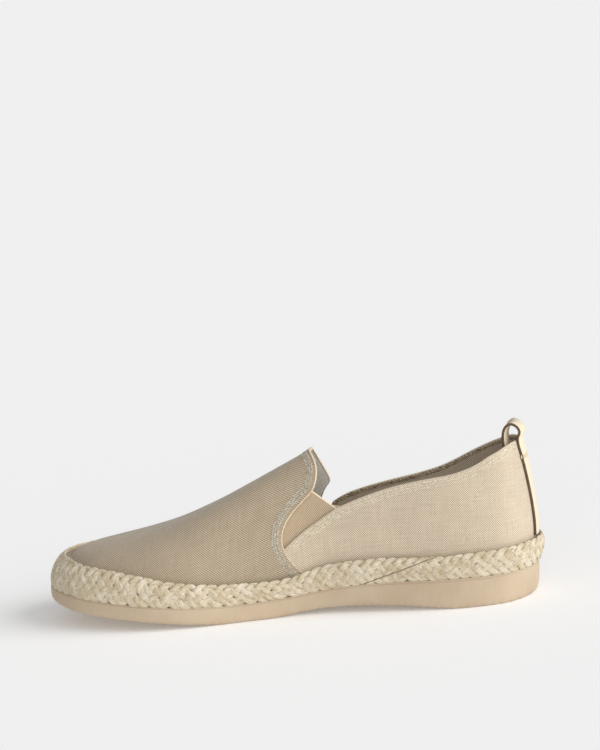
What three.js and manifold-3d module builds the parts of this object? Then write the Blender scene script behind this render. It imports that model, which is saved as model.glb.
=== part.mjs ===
// Slip-on espadrille, the right shoe of a pair, men's EU 42.
// Millimetres. +X runs from heel to toe, +Y to the inner side of the foot, +Z up.
//
// The shoe stands on a moulded rubber outsole. A plaited jute band wraps the foot of a
// canvas upper, an insole lies inside it, an elastic gore fills the slit on each side,
// and one tape makes both the pull loop and the strip down the back of the heel.

import * as THREE from 'three';
import { mergeVertices } from 'three/addons/utils/BufferGeometryUtils.js';
import Module from 'manifold-3d';

const wasm = await Module();
wasm.setup();

// ---------------------------------------------------------------- driving sizes

const SOLE_LENGTH = 290;     // heel to toe, along the outline
const BALL_WIDTH = 102;      // across the ball of the foot
const INSTEP_HEIGHT = 94.5;  // floor to the top of the vamp at the throat
const WALL = 2.0;            // canvas and lining together
const CLEARANCE = 0.3;       // between pieces that are glued or sewn together
const BAND_THICKNESS = 4.5;
const INSOLE_THICKNESS = 4.0;
const GORE_THICKNESS = 1.2;
const TAPE_THICKNESS = 1.5;
const TAPE_WIDTH = 14;
const STATIONS = 42;         // steps along the shoe
const LEVELS = 16;           // steps up the upper

// The tables below are drawn at the sample size, and graded to the sizes above.
const SAMPLE = { length: 290, ball: 102, instep: 94.5 };
const GRADE = {
  x: SOLE_LENGTH / SAMPLE.length,
  y: BALL_WIDTH / SAMPLE.ball,
  z: INSTEP_HEIGHT / SAMPLE.instep,
};

/** Turn rows of numbers into records with named columns, graded to size. */
function graded(names, rows) {
  const keys = names.split(' ');
  const grades = {
    x: GRADE.x, y: GRADE.y, z: GRADE.z, ridgeY: GRADE.y,
    tread: GRADE.z, deck: GRADE.z, band: GRADE.z, ridge: GRADE.z,
  };
  return rows.map((row) => Object.fromEntries(
    keys.map((key, i) => [key, row[i] * (grades[key] ?? 1)]),
  ));
}

// Outline of the sole from the back of the heel, along the inner side to the toe, and back.
const OUTLINE = graded('x y', [
  [0, 0], [4.5, 15], [17, 28], [45, 34.5], [85, 32.5], [125, 31], [162, 39], [198, 49],
  [228, 50], [255, 43.8], [275, 31], [287.5, 12.5], [289, -5.5], [280, -23.5], [260, -38.5],
  [224, -49.2], [185, -52.5], [145, -49], [100, -41.5], [50, -35.5], [17, -28], [4.5, -15],
]);

// Heights along the shoe. tread is cut off at the floor, which leaves the two flat spots.
// ridge and ridgeY place the crest of the upper, n and m square its sections, inner and
// outer are the bulge above the sole on each side, and lean tips the walls back.
const PROFILE = graded('x tread deck band ridge ridgeY n m inner outer lean', [
  [0, 0.5, 18.3, 33.0, 118.5, 0.0, 2.35, 2.10, 0.145, 0.145, 0.080],
  [20, -0.6, 18.3, 32.6, 118.5, -0.4, 2.5, 2.10, 0.120, 0.120, 0.080],
  [40, -0.3, 18.2, 31.6, 118.5, -0.8, 2.65, 2.10, 0.080, 0.080, 0.080],
  [60, 1.7, 18.1, 31.0, 118.5, -1.0, 2.8, 2.10, 0.060, 0.060, 0.070],
  [80, 3.2, 17.8, 31.6, 114.0, 0.0, 2.7, 2.00, 0.080, 0.060, 0.050],
  [100, 3.9, 17.0, 31.0, 107.5, 1.0, 2.6, 1.95, 0.110, 0.060, 0.035],
  [120, 3.3, 14.8, 28.4, 97.3, 2.2, 2.45, 1.85, 0.140, 0.055, 0.025],
  [135, 1.8, 12.8, 24.0, 88.4, 3.5, 2.4, 1.80, 0.160, 0.050, 0.020],
  [150, 0.1, 11.6, 22.4, 80.5, 5.0, 2.45, 1.85, 0.130, 0.050, 0.025],
  [170, -0.4, 11.2, 23.0, 71.5, 7.0, 2.5, 1.90, 0.080, 0.050, 0.045],
  [190, 1.1, 12.2, 25.2, 62.5, 8.0, 2.5, 1.95, 0.060, 0.050, 0.060],
  [210, 3.6, 13.9, 28.6, 55.3, 8.2, 2.5, 2.00, 0.050, 0.050, 0.085],
  [230, 6.1, 16.2, 33.2, 50.3, 8.0, 2.5, 2.00, 0.050, 0.050, 0.100],
  [250, 8.5, 18.4, 36.0, 46.5, 6.5, 2.4, 2.00, 0.050, 0.050, 0.120],
  [270, 11.0, 20.6, 38.0, 43.3, 4.5, 2.3, 2.00, 0.050, 0.050, 0.135],
  [290, 13.6, 22.6, 40.0, 40.0, 3.0, 2.3, 2.00, 0.050, 0.050, 0.150],
]);
const HEEL_CENTRE = 34 * GRADE.x;   // sections fan about these two points at the ends
const TOE_CENTRE = 258 * GRADE.x;
const FAN_BLEND = 9 * GRADE.x;
const FAN_DRIFT = 0.12;
const BULGE_HEIGHT = 22 * GRADE.z;
const THROAT_Y = 3 * GRADE.y;       // the two side patterns meet on this line

// Side patterns of the opening, each running from the heel forwards.
const INNER_PATTERN = {
  topline: graded('x z', [
    [-16, 91], [3, 90.6], [9, 89.2], [13, 87.4], [18, 85.4], [25, 81.8], [33, 79], [41, 77.2],
    [52, 75.8], [62, 74.3], [71, 72.7], [80, 70.6], [90, 67.8], [99, 64.8], [109, 61],
  ]),
  frontEdge: graded('x z', [[109, 61], [117, 56.2], [125, 51.3], [132, 46.4], [138, 41.2]]),
  vampEdge: graded('x z', [
    [138, 41.2], [140.6, 45], [139.8, 50], [137, 55.5], [132.6, 61], [127.5, 66], [122.6, 70.5],
  ]),
  throat: graded('x z', [
    [122.6, 70.5], [120.6, 74], [119.4, 78], [119, 82.3], [119.5, 86.3], [120.9, 89.8],
    [122.8, 92.4], [124.2, 93.6],
  ]),
  gore: graded('x z', [
    [104.4, 57.6], [126.4, 73.7], [134, 67.5], [141, 60], [145, 52], [145.6, 44], [141, 34.5],
    [133, 38.6], [124, 44.6], [113, 51.5],
  ]),
};
const OUTER_PATTERN = {
  topline: graded('x z', [
    [-16, 91], [3, 90.6], [9, 89.8], [13, 88.6], [18, 86.9], [28, 83], [37, 79], [47, 74.2],
    [56, 70.6], [66, 67.8], [76, 65.6], [85, 63.8], [94, 61.8], [103, 59.6], [112, 56.9],
    [118.5, 54.1], [123.5, 51.2],
  ]),
  frontEdge: graded('x z', [[123.5, 51.2], [126, 47.6], [128.4, 43.6], [130.4, 39.4]]),
  vampEdge: graded('x z', [
    [130.4, 39.4], [132.3, 42.5], [132.6, 46.2], [131.5, 50.2], [129.9, 54], [127.9, 58],
    [125.6, 61.4], [122.9, 65],
  ]),
  throat: graded('x z', [
    [122.9, 65], [122.6, 69], [123.2, 74], [124, 80], [124.4, 85.5], [124.5, 90], [124.2, 93.6],
  ]),
  gore: graded('x z', [
    [117.5, 48], [127, 48.9], [137.2, 50.6], [138.6, 45], [138.2, 39], [134.5, 32.4], [128.5, 35.4],
    [122.5, 41.4],
  ]),
};

// Middle line of the tape where it stands free as a loop above the collar.
const LOOP = graded('x z', [
  [1.5, 91.2], [0.1, 95], [1.6, 98.2], [4.8, 99.8], [7.8, 98.3], [9.5, 95], [10, 90.5],
  [9.6, 86], [8.2, 81.5],
]);

// Side of the outsole: share of its height, and how far the wall stands in from the outline.
const OUTSOLE_WALL = graded('share inset', [
  [0.00, 2.8], [0.07, 1.3], [0.20, 0.6], [0.50, 0.15], [0.88, 0.0], [1.00, 0.3],
]);

// Section of the jute band: share of its height, and its distance in from the outline.
const BAND_SECTION = graded('share inset', [
  [0.00, 0.7], [0.18, -0.3], [0.50, -0.8], [0.82, -0.3], [0.96, 0.9], [1.00, 2.4], [1.00, 4.3],
  [0.75, 4.4], [0.50, 4.4], [0.25, 4.4], [0.00, 4.4],
]);

// ---------------------------------------------------------------- curves

/** Read one column of a table at x, along a smooth curve through its rows. */
function read(table, column, x) {
  const last = table.length - 1;
  const at = THREE.MathUtils.clamp(x, table[0].x, table[last].x);
  let i = 0;
  while (i < last - 1 && at >= table[i + 1].x) i += 1;
  const slope = (a, b) => (table[b][column] - table[a][column]) / (table[b].x - table[a].x);
  const span = table[i + 1].x - table[i].x;
  const f = (at - table[i].x) / span;
  const m0 = slope(Math.max(i - 1, 0), i + 1);
  const m1 = slope(i, Math.min(i + 2, last));
  const f2 = f * f;
  const f3 = f2 * f;
  return (2 * f3 - 3 * f2 + 1) * table[i][column] + (f3 - 2 * f2 + f) * span * m0
    + (3 * f2 - 2 * f3) * table[i + 1][column] + (f3 - f2) * span * m1;
}

const tread = (x) => Math.max(0, read(PROFILE, 'tread', x));
const deck = (x) => read(PROFILE, 'deck', x);
const bandTop = (x) => read(PROFILE, 'band', x);

/** Tip a point back with the lean of the walls at its station. */
function leaned(x, y, z) {
  return new THREE.Vector3(x - read(PROFILE, 'lean', x) * (z - tread(x)), y, z);
}

/** Point on the closed outline, t from 0 at the heel to 1. */
function outlineAt(t) {
  const count = OUTLINE.length;
  const s = (t - Math.floor(t)) * count;
  const i = Math.floor(s);
  const f = s - i;
  const p = [-1, 0, 1, 2].map((step) => OUTLINE[(i + step + count) % count]);
  const blend = (key) => {
    const m0 = (p[2][key] - p[0][key]) / 2;
    const m1 = (p[3][key] - p[1][key]) / 2;
    return (2 * p[1][key] - 2 * p[2][key] + m0 + m1) * f ** 3
      + (3 * p[2][key] - 3 * p[1][key] - 2 * m0 - m1) * f ** 2 + m0 * f + p[1][key];
  };
  return { x: blend('x'), y: blend('y') };
}

/** Points around the sole: heel, inner side, toe, outer side, at matching stations. */
function outlineStations() {
  const samples = 4000;
  const dense = [];
  for (let i = 0; i <= samples; i += 1) dense.push({ t: i / samples, ...outlineAt(i / samples) });
  const toe = dense.reduce((best, p) => (p.x > best.x ? p : best));
  const heel = dense.reduce((best, p) => (p.x < best.x ? p : best));
  const heelT = heel.t > 0.5 ? heel.t - 1 : heel.t;
  const solve = (x, low, high) => {
    let [a, b] = [low, high];
    for (let step = 0; step < 40; step += 1) {
      const mid = (a + b) / 2;
      if (outlineAt(mid).x < x) a = mid;
      else b = mid;
    }
    return (a + b) / 2;
  };
  const points = [];
  for (let k = 0; k < 2 * STATIONS; k += 1) {
    const step = k <= STATIONS ? k : 2 * STATIONS - k;
    const station = heel.x + (toe.x - heel.x) * (1 - Math.cos((Math.PI * step) / STATIONS)) / 2;
    let t = k === 0 ? heelT : toe.t;
    if (k > 0 && k < STATIONS) t = solve(station, heelT, toe.t);
    if (k > STATIONS) t = solve(station, heelT + 1, toe.t);
    const before = outlineAt(t - 1e-4);
    const after = outlineAt(t + 1e-4);
    const normal = new THREE.Vector2(before.y - after.y, after.x - before.x).normalize();
    points.push({ ...outlineAt(t), station, normal });
  }
  return points;
}
const AROUND = outlineStations();

/** Hold x between the two fan centres, softly, with a little drift beyond them. */
function fanCentre(x) {
  const soft = (value) => FAN_BLEND * Math.log1p(Math.exp(value / FAN_BLEND));
  const low = HEEL_CENTRE + soft(x - HEEL_CENTRE);
  const held = TOE_CENTRE - soft(TOE_CENTRE - low);
  return held + FAN_DRIFT * (x - held);
}

/** Height and place of the upper's form at level v (0 sole, 1 crest), set in from the outline. */
function formPoint(k, v, inset) {
  const p = AROUND[k];
  const x = p.x - p.normal.x * inset;
  const y = p.y - p.normal.y * inset;
  const cx = fanCentre(p.station);
  const cy = read(PROFILE, 'ridgeY', cx);
  const angle = (v * Math.PI) / 2;
  const f = v === 1 ? 0 : Math.cos(angle) ** (2 / read(PROFILE, 'n', p.station));
  const g = v === 0 ? 0 : Math.sin(angle) ** (2 / read(PROFILE, 'm', p.station));
  const foot = deck(x) + CLEARANCE;
  const crest = read(PROFILE, 'ridge', cx + (x - cx) * f) + BAND_THICKNESS + CLEARANCE - inset;
  const height = (crest - foot) * g;
  const t = height / BULGE_HEIGHT;
  const swell = 1 + read(PROFILE, y > cy ? 'inner' : 'outer', p.station) * t * Math.exp(1 - t);
  return { x: cx + (x - cx) * f * swell, y: cy + (y - cy) * f * swell, z: foot + height };
}

/** The form's point at a stated height above the floor. */
function formAtHeight(k, z, inset) {
  let [low, high] = [0, 1];
  for (let step = 0; step < 30; step += 1) {
    const mid = (low + high) / 2;
    if (formPoint(k, mid, inset).z < z) low = mid;
    else high = mid;
  }
  const p = formPoint(k, (low + high) / 2, inset);
  return { x: p.x, y: p.y, z: Math.max(z, 0) };
}

// ---------------------------------------------------------------- mesh helpers

/** Geometry from points and triangles, turned so its faces look outwards. */
function closedGeometry(points, triangles) {
  const volume = triangles.reduce((sum, [a, b, c]) => (
    sum + points[a].dot(new THREE.Vector3().crossVectors(points[b], points[c])) / 6
  ), 0);
  const index = triangles.flatMap(([a, b, c]) => (volume > 0 ? [a, b, c] : [a, c, b]));
  const geometry = new THREE.BufferGeometry();
  geometry.setAttribute('position', new THREE.Float32BufferAttribute(
    points.flatMap((p) => p.toArray()),
    3,
  ));
  geometry.setIndex(index);
  return mergeVertices(geometry, 1e-4);
}

/** Fill one ring from side to side at each station, at heights given by surface(x). */
function capRing(ring, surface, points, triangles, flip) {
  const across = 4;
  const grid = [];
  for (let k = 0; k <= STATIONS; k += 1) {
    const row = [ring[k]];
    const other = ring[(2 * STATIONS - k) % (2 * STATIONS)];
    for (let j = 1; j < across && other !== ring[k]; j += 1) {
      const [a, b] = [points[ring[k]], points[other]];
      const raw = a.raw.clone().lerp(b.raw, j / across);
      row.push(points.length);
      const placed = leaned(raw.x, raw.y, surface(raw.x));
      placed.raw = raw;
      points.push(placed);
    }
    if (other !== ring[k]) row.push(other);
    grid.push(row);
  }
  for (let k = 0; k < STATIONS; k += 1) {
    for (let j = 0; j < across; j += 1) {
      const corner = (row, i) => row[Math.min(i, row.length - 1)];
      const [a, b] = [corner(grid[k], j), corner(grid[k], j + 1)];
      const [c, d] = [corner(grid[k + 1], j + 1), corner(grid[k + 1], j)];
      const faces = [[a, b, c], [a, c, d]].filter((f) => new Set(f).size === 3);
      faces.forEach((f) => triangles.push(flip ? f.slice().reverse() : f));
    }
  }
}

/** Skin a stack of rings. Caps are surfaces over x; a wrapped stack closes on itself. */
function skin(rings, { bottom = null, top = null, wrapped = false } = {}) {
  const points = [];
  const triangles = [];
  const size = 2 * STATIONS;
  const ids = rings.map((ring) => ring.map((p) => {
    const placed = leaned(p.x, p.y, p.z);
    placed.raw = new THREE.Vector3(p.x, p.y, p.z);
    points.push(placed);
    return points.length - 1;
  }));
  const pairs = wrapped ? rings.length : rings.length - 1;
  for (let r = 0; r < pairs; r += 1) {
    const [low, high] = [ids[r], ids[(r + 1) % rings.length]];
    for (let k = 0; k < size; k += 1) {
      const next = (k + 1) % size;
      triangles.push([low[k], high[next], low[next]], [low[k], high[k], high[next]]);
    }
  }
  if (bottom) capRing(ids[0], bottom, points, triangles, true);
  if (top) capRing(ids[ids.length - 1], top, points, triangles, false);
  return closedGeometry(points, triangles);
}

const everyStation = (make) => AROUND.map((p, k) => make(p, k));

/** A three.js geometry as a manifold solid, and back. */
function solidOf(geometry) {
  const bare = geometry.clone();
  bare.deleteAttribute('normal');
  bare.deleteAttribute('uv');
  const welded = mergeVertices(bare, 1e-4);
  return new wasm.Manifold(new wasm.Mesh({
    numProp: 3,
    vertProperties: new Float32Array(welded.attributes.position.array),
    triVerts: new Uint32Array(welded.index.array),
  }));
}

function geometryOf(solid) {
  const mesh = solid.getMesh();
  const geometry = new THREE.BufferGeometry();
  geometry.setAttribute('position', new THREE.BufferAttribute(mesh.vertProperties, 3));
  geometry.setIndex(new THREE.BufferAttribute(mesh.triVerts, 1));
  return geometry;
}

/** A flat side pattern in X and Z, made solid from y0 to y1. */
function prism(points, y0, y1) {
  const shape = new THREE.Shape(points.map((p) => new THREE.Vector2(p.x, p.z)));
  const geometry = new THREE.ExtrudeGeometry(shape, { depth: y1 - y0, bevelEnabled: false });
  geometry.rotateX(Math.PI / 2);
  geometry.translate(0, y1, 0);
  return solidOf(geometry);
}

/** A smooth line through the rows of a pattern. */
function smooth(rows, steps) {
  const curve = new THREE.SplineCurve(rows.map((p) => new THREE.Vector2(p.x, p.z)));
  return curve.getPoints(steps).map((p) => ({ x: p.x, z: p.y }));
}

// ---------------------------------------------------------------- the pieces

/** Moulded rubber sole: arch, toe spring, and a flat spot under heel and ball. */
function outsole() {
  const rings = OUTSOLE_WALL.map(({ share, inset }) => everyStation((p) => {
    const x = p.x - p.normal.x * inset;
    const y = p.y - p.normal.y * inset;
    return { x, y, z: THREE.MathUtils.lerp(tread(x), deck(x), share) };
  }));
  return skin(rings, { bottom: tread, top: deck });
}

/** Plaited band around the foot of the upper, resting on the sole. */
function juteBand() {
  const rings = BAND_SECTION.map(({ share, inset }) => everyStation((p, k) => {
    const x = p.x - p.normal.x * inset;
    const z = THREE.MathUtils.lerp(deck(x) + CLEARANCE, bandTop(x), share);
    return formAtHeight(k, z, inset);
  }));
  return skin(rings, { wrapped: true });
}

/** Footbed inside the upper. */
function insole() {
  const inset = BAND_THICKNESS + CLEARANCE + WALL + CLEARANCE;
  const section = [[0, 0], [0.7, 0], [1, 0.8]];
  const rings = section.map(([rise, edge]) => everyStation((p, k) => {
    const x = p.x - p.normal.x * (inset + edge);
    const y = p.y - p.normal.y * (inset + edge);
    return { x, y, z: deck(x) + CLEARANCE + INSOLE_THICKNESS * rise };
  }));
  const floor = (x) => deck(x) + CLEARANCE;
  const top = (x) => deck(x) + CLEARANCE + INSOLE_THICKNESS;
  return skin(rings, { bottom: floor, top });
}

/** The upper's form as a solid, set in from the outline, its foot carried down by depth. */
function form(inset, depth) {
  const rings = [];
  const foot = everyStation((p, k) => formPoint(k, 0, inset));
  if (depth > 0) rings.push(foot.map((p) => ({ x: p.x, y: p.y, z: p.z - depth })));
  for (let level = 0; level <= LEVELS; level += 1) {
    rings.push(everyStation((p, k) => formPoint(k, level / LEVELS, inset)));
  }
  return solidOf(skin(rings, { bottom: (x) => deck(x) + CLEARANCE - depth }));
}

/** Outline of everything cut away on one side: the collar, with the gore's slit below it. */
function openingPattern(pattern) {
  return [
    ...smooth(pattern.topline, 30),
    ...smooth(pattern.frontEdge, 6).slice(1),
    ...smooth(pattern.vampEdge, 10).slice(1),
    ...smooth(pattern.throat, 12).slice(1),
    { x: pattern.throat.at(-1).x, z: 150 },
    { x: pattern.topline[0].x, z: 150 },
  ];
}

/** Canvas upper: one hollow wall, open at the collar, the two slits, and underneath. */
function upper() {
  const outside = BAND_THICKNESS + CLEARANCE;
  const wall = form(outside, 0).subtract(form(outside + WALL, 6));
  const inner = prism(openingPattern(INNER_PATTERN), THROAT_Y, 90);
  const outer = prism(openingPattern(OUTER_PATTERN), -90, THROAT_Y);
  return geometryOf(wall.subtract(inner.add(outer)));
}

/** Elastic gore behind one slit, reaching under the canvas all round. */
function gore(pattern, y0, y1) {
  const outside = BAND_THICKNESS + CLEARANCE + WALL + CLEARANCE;
  const sheet = form(outside, 0).subtract(form(outside + GORE_THICKNESS, 6));
  return geometryOf(sheet.intersect(prism(pattern.gore, y0, y1)));
}

/** Where the back of the form stands, at height z and distance y off the middle. */
function heelBack(z, y, inset) {
  const reach = 12;
  const back = [];
  for (let step = -reach; step <= reach; step += 1) {
    const k = (step + 2 * STATIONS) % (2 * STATIONS);
    const p = formAtHeight(k, z, inset);
    back.push(leaned(p.x, p.y, p.z));
  }
  const i = Math.max(0, Math.min(back.length - 2, back.findIndex((p) => p.y > y) - 1));
  return THREE.MathUtils.mapLinear(y, back[i].y, back[i + 1].y, back[i].x, back[i + 1].x);
}

/** Pull loop and heel strip: one tape, up the back, over the collar and down inside. */
function pullLoop() {
  const outside = BAND_THICKNESS + CLEARANCE;
  const stand = CLEARANCE + TAPE_THICKNESS / 2;
  const across = 4;
  const along = 34;
  const stripHeights = [34.2, 42, 50, 58, 66, 74, 81, 87].map((z) => z * GRADE.z);
  const insideHeights = [76.5, 72, 68].map((z) => z * GRADE.z);
  const dish = (y) => heelBack(87 * GRADE.z, y, outside) - heelBack(87 * GRADE.z, 0, outside);
  const faces = [[], []];
  for (let j = 0; j <= across; j += 1) {
    const y = TAPE_WIDTH * (j / across - 0.5);
    const line = new THREE.SplineCurve([
      ...stripHeights.map((z) => new THREE.Vector2(heelBack(z, y, outside) - stand, z)),
      ...LOOP.map((p) => new THREE.Vector2(p.x + dish(y), p.z)),
      ...insideHeights.map((z, i) => (
        new THREE.Vector2(heelBack(z, y, outside + WALL) + stand + (i === 0 ? 1 : 0), z)
      )),
    ]);
    for (let i = 0; i <= along; i += 1) {
      const middle = line.getPoint(i / along);
      const tangent = line.getPoint(Math.min(1, i / along + 0.004))
        .sub(line.getPoint(Math.max(0, i / along - 0.004))).normalize();
      [1, -1].forEach((side, f) => {
        const push = (side * TAPE_THICKNESS) / 2;
        faces[f].push(new THREE.Vector3(
          middle.x + tangent.y * push,
          y,
          middle.y - tangent.x * push,
        ));
      });
    }
  }
  const points = [...faces[0], ...faces[1]];
  const triangles = [];
  const rows = along + 1;
  const id = (f, j, i) => f * faces[0].length + j * rows + i;
  const quad = (a, b, c, d) => triangles.push([a, b, c], [a, c, d]);
  for (let j = 0; j < across; j += 1) {
    for (let i = 0; i < along; i += 1) {
      quad(id(0, j, i), id(0, j + 1, i), id(0, j + 1, i + 1), id(0, j, i + 1));
      quad(id(1, j, i), id(1, j, i + 1), id(1, j + 1, i + 1), id(1, j + 1, i));
    }
    quad(id(0, j, 0), id(1, j, 0), id(1, j + 1, 0), id(0, j + 1, 0));
    quad(id(0, j, along), id(0, j + 1, along), id(1, j + 1, along), id(1, j, along));
  }
  for (let i = 0; i < along; i += 1) {
    quad(id(0, 0, i), id(0, 0, i + 1), id(1, 0, i + 1), id(1, 0, i));
    quad(id(0, across, i), id(1, across, i), id(1, across, i + 1), id(0, across, i + 1));
  }
  return closedGeometry(points, triangles);
}

// ---------------------------------------------------------------- the shoe

const FINISHES = {
  outsole: { color: '#cdb694', roughness: 0.7 },
  jute_band: { color: '#cbbd94', roughness: 0.95 },
  insole: { color: '#b9a78a', roughness: 0.9 },
  upper: { color: '#cdbba0', roughness: 0.92 },
  gore_inner: { color: '#c6a985', roughness: 0.85 },
  gore_outer: { color: '#c6a985', roughness: 0.85 },
  pull_loop: { color: '#e4d8c0', roughness: 0.8 },
};

const pieces = {
  outsole: outsole(),
  jute_band: juteBand(),
  insole: insole(),
  upper: upper(),
  gore_inner: gore(INNER_PATTERN, 8, 90),
  gore_outer: gore(OUTER_PATTERN, -90, -8),
  pull_loop: pullLoop(),
};

const bounds = new THREE.Box3();
Object.values(pieces).forEach((geometry) => {
  geometry.computeBoundingBox();
  bounds.union(geometry.boundingBox);
});
const centre = bounds.getCenter(new THREE.Vector3());

const espadrille = new THREE.Group();
espadrille.name = 'espadrille';
Object.entries(pieces).forEach(([name, geometry]) => {
  geometry.translate(-centre.x, -centre.y, -bounds.min.z);
  geometry.computeVertexNormals();
  const finish = new THREE.MeshStandardMaterial({ ...FINISHES[name], metalness: 0 });
  const mesh = new THREE.Mesh(geometry, finish);
  mesh.name = name;
  espadrille.add(mesh);
});

export default espadrille;
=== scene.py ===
"""Looks of a slip-on espadrille, the right shoe of a pair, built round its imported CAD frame."""

from __future__ import annotations

import logging
import math
from dataclasses import dataclass, field
from enum import Enum
from typing import Callable, Sequence
import bmesh  # noqa: E402
import bpy  # noqa: E402
import numpy as np  # noqa: E402
from mathutils import Matrix, Vector  # noqa: E402


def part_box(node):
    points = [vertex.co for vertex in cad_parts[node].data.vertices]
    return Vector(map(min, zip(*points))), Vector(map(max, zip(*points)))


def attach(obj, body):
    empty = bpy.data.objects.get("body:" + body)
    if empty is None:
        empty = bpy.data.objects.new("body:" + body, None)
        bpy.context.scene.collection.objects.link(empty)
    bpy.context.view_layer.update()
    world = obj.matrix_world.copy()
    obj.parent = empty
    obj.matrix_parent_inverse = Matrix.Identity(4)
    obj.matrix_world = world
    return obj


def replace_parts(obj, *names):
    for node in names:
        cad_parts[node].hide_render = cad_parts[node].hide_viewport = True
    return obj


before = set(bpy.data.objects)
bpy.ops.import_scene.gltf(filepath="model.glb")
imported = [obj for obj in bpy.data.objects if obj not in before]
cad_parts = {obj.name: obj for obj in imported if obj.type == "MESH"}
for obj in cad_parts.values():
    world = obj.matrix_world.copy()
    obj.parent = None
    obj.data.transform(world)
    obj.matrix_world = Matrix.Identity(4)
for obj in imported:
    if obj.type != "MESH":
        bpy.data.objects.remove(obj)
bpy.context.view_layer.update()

log = logging.getLogger("espadrille")
Array = np.ndarray
Colour = tuple[float, float, float]

# ------------------------------------------------------------------ the last's tables, in mm

OUTLINE = np.array([
    (0, 0), (4.5, 15), (17, 28), (45, 34.5), (85, 32.5), (125, 31), (162, 39), (198, 49),
    (228, 50), (255, 43.8), (275, 31), (287.5, 12.5), (289, -5.5), (280, -23.5), (260, -38.5),
    (224, -49.2), (185, -52.5), (145, -49), (100, -41.5), (50, -35.5), (17, -28), (4.5, -15),
], float)

PROFILE_COLUMNS = ("x", "tread", "deck", "band", "ridge", "ridge_y", "n", "m", "inner", "outer", "lean")
PROFILE = np.array([
    (0, 0.5, 18.3, 33.0, 118.5, 0.0, 2.35, 2.10, 0.145, 0.145, 0.080),
    (20, -0.6, 18.3, 32.6, 118.5, -0.4, 2.5, 2.10, 0.120, 0.120, 0.080),
    (40, -0.3, 18.2, 31.6, 118.5, -0.8, 2.65, 2.10, 0.080, 0.080, 0.080),
    (60, 1.7, 18.1, 31.0, 118.5, -1.0, 2.8, 2.10, 0.060, 0.060, 0.070),
    (80, 3.2, 17.8, 31.6, 114.0, 0.0, 2.7, 2.00, 0.080, 0.060, 0.050),
    (100, 3.9, 17.0, 31.0, 107.5, 1.0, 2.6, 1.95, 0.110, 0.060, 0.035),
    (120, 3.3, 14.8, 28.4, 97.3, 2.2, 2.45, 1.85, 0.140, 0.055, 0.025),
    (135, 1.8, 12.8, 24.0, 88.4, 3.5, 2.4, 1.80, 0.160, 0.050, 0.020),
    (150, 0.1, 11.6, 22.4, 80.5, 5.0, 2.45, 1.85, 0.130, 0.050, 0.025),
    (170, -0.4, 11.2, 23.0, 71.5, 7.0, 2.5, 1.90, 0.080, 0.050, 0.045),
    (190, 1.1, 12.2, 25.2, 62.5, 8.0, 2.5, 1.95, 0.060, 0.050, 0.060),
    (210, 3.6, 13.9, 28.6, 55.3, 8.2, 2.5, 2.00, 0.050, 0.050, 0.085),
    (230, 6.1, 16.2, 33.2, 50.3, 8.0, 2.5, 2.00, 0.050, 0.050, 0.100),
    (250, 8.5, 18.4, 36.0, 46.5, 6.5, 2.4, 2.00, 0.050, 0.050, 0.120),
    (270, 11.0, 20.6, 38.0, 43.3, 4.5, 2.3, 2.00, 0.050, 0.050, 0.135),
    (290, 13.6, 22.6, 40.0, 40.0, 3.0, 2.3, 2.00, 0.050, 0.050, 0.150),
], float)


class Side(Enum):
    """The two sides of the shoe, with the sign of Y on each."""

    INNER = 1
    OUTER = -1


# Top of each quarter, from the heel forwards and down its front edge to the foot of the slit.
QUARTER_TOP = {
    Side.INNER: [(-16, 91), (3, 90.6), (9, 89.2), (13, 87.4), (18, 85.4), (25, 81.8), (33, 79),
                 (41, 77.2), (52, 75.8), (62, 74.3), (71, 72.7), (80, 70.6), (90, 67.8), (99, 64.8),
                 (109, 61)],
    Side.OUTER: [(-16, 91), (3, 90.6), (9, 89.8), (13, 88.6), (18, 86.9), (28, 83), (37, 79),
                 (47, 74.2), (56, 70.6), (66, 67.8), (76, 65.6), (85, 63.8), (94, 61.8),
                 (103, 59.6), (112, 56.9), (118.5, 54.1), (123.5, 51.2)],
}
QUARTER_FRONT = {
    Side.INNER: [(109, 61), (117, 56.2), (125, 51.3), (132, 46.4), (139.6, 40.4)],
    Side.OUTER: [(123.5, 51.2), (126, 47.6), (128.4, 43.6), (131, 38.6)],
}
# Back edge of the vamp on each side, from the sole up to the middle of the throat.
VAMP_BACK = {
    Side.INNER: [(118, 12), (124, 18), (130.5, 25), (136, 32), (139.3, 38), (140.7, 43.5),
                 (140, 50), (137, 56), (132.6, 61.2), (127.5, 66), (122.6, 70.5), (120.6, 74),
                 (119.4, 78), (119, 82.3), (119.5, 86.3), (120.9, 89.8), (122.8, 92.4),
                 (124.2, 93.6), (124.6, 97)],
    Side.OUTER: [(112, 12), (117, 18), (122.5, 25), (127, 32), (130.4, 38.4), (132.2, 42.4),
                 (132.6, 46.2), (131.5, 50.2), (129.9, 54), (127.9, 58), (125.6, 61.4), (122.9, 65),
                 (123.2, 69), (124.4, 74), (125.6, 80), (126.1, 85.5), (125.9, 90),
                 (124.6, 93.6), (124.6, 97)],
}
# Each gore: its back and front edges, from the top down to the foot of the slit.
GORE_BACK = {
    Side.INNER: [(104.4, 57.6), (113, 51.5), (124, 44.6), (133, 38.6), (139, 35)],
    Side.OUTER: [(117.5, 48), (122.5, 41.4), (128.5, 35.4), (131.5, 33.4)],
}
GORE_FRONT = {
    Side.INNER: [(126.4, 73.7), (134, 67.5), (141, 60), (145, 52), (145.6, 44), (142, 36)],
    Side.OUTER: [(137.2, 50.6), (138.6, 45), (138.2, 39), (135.3, 33.4)],
}
LOOP = [(1.5, 91.2), (0.1, 95), (1.6, 98.2), (4.8, 99.8), (7.8, 98.3), (9.5, 95), (10, 90.5),
        (9.6, 86), (8.2, 81.5)]


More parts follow.
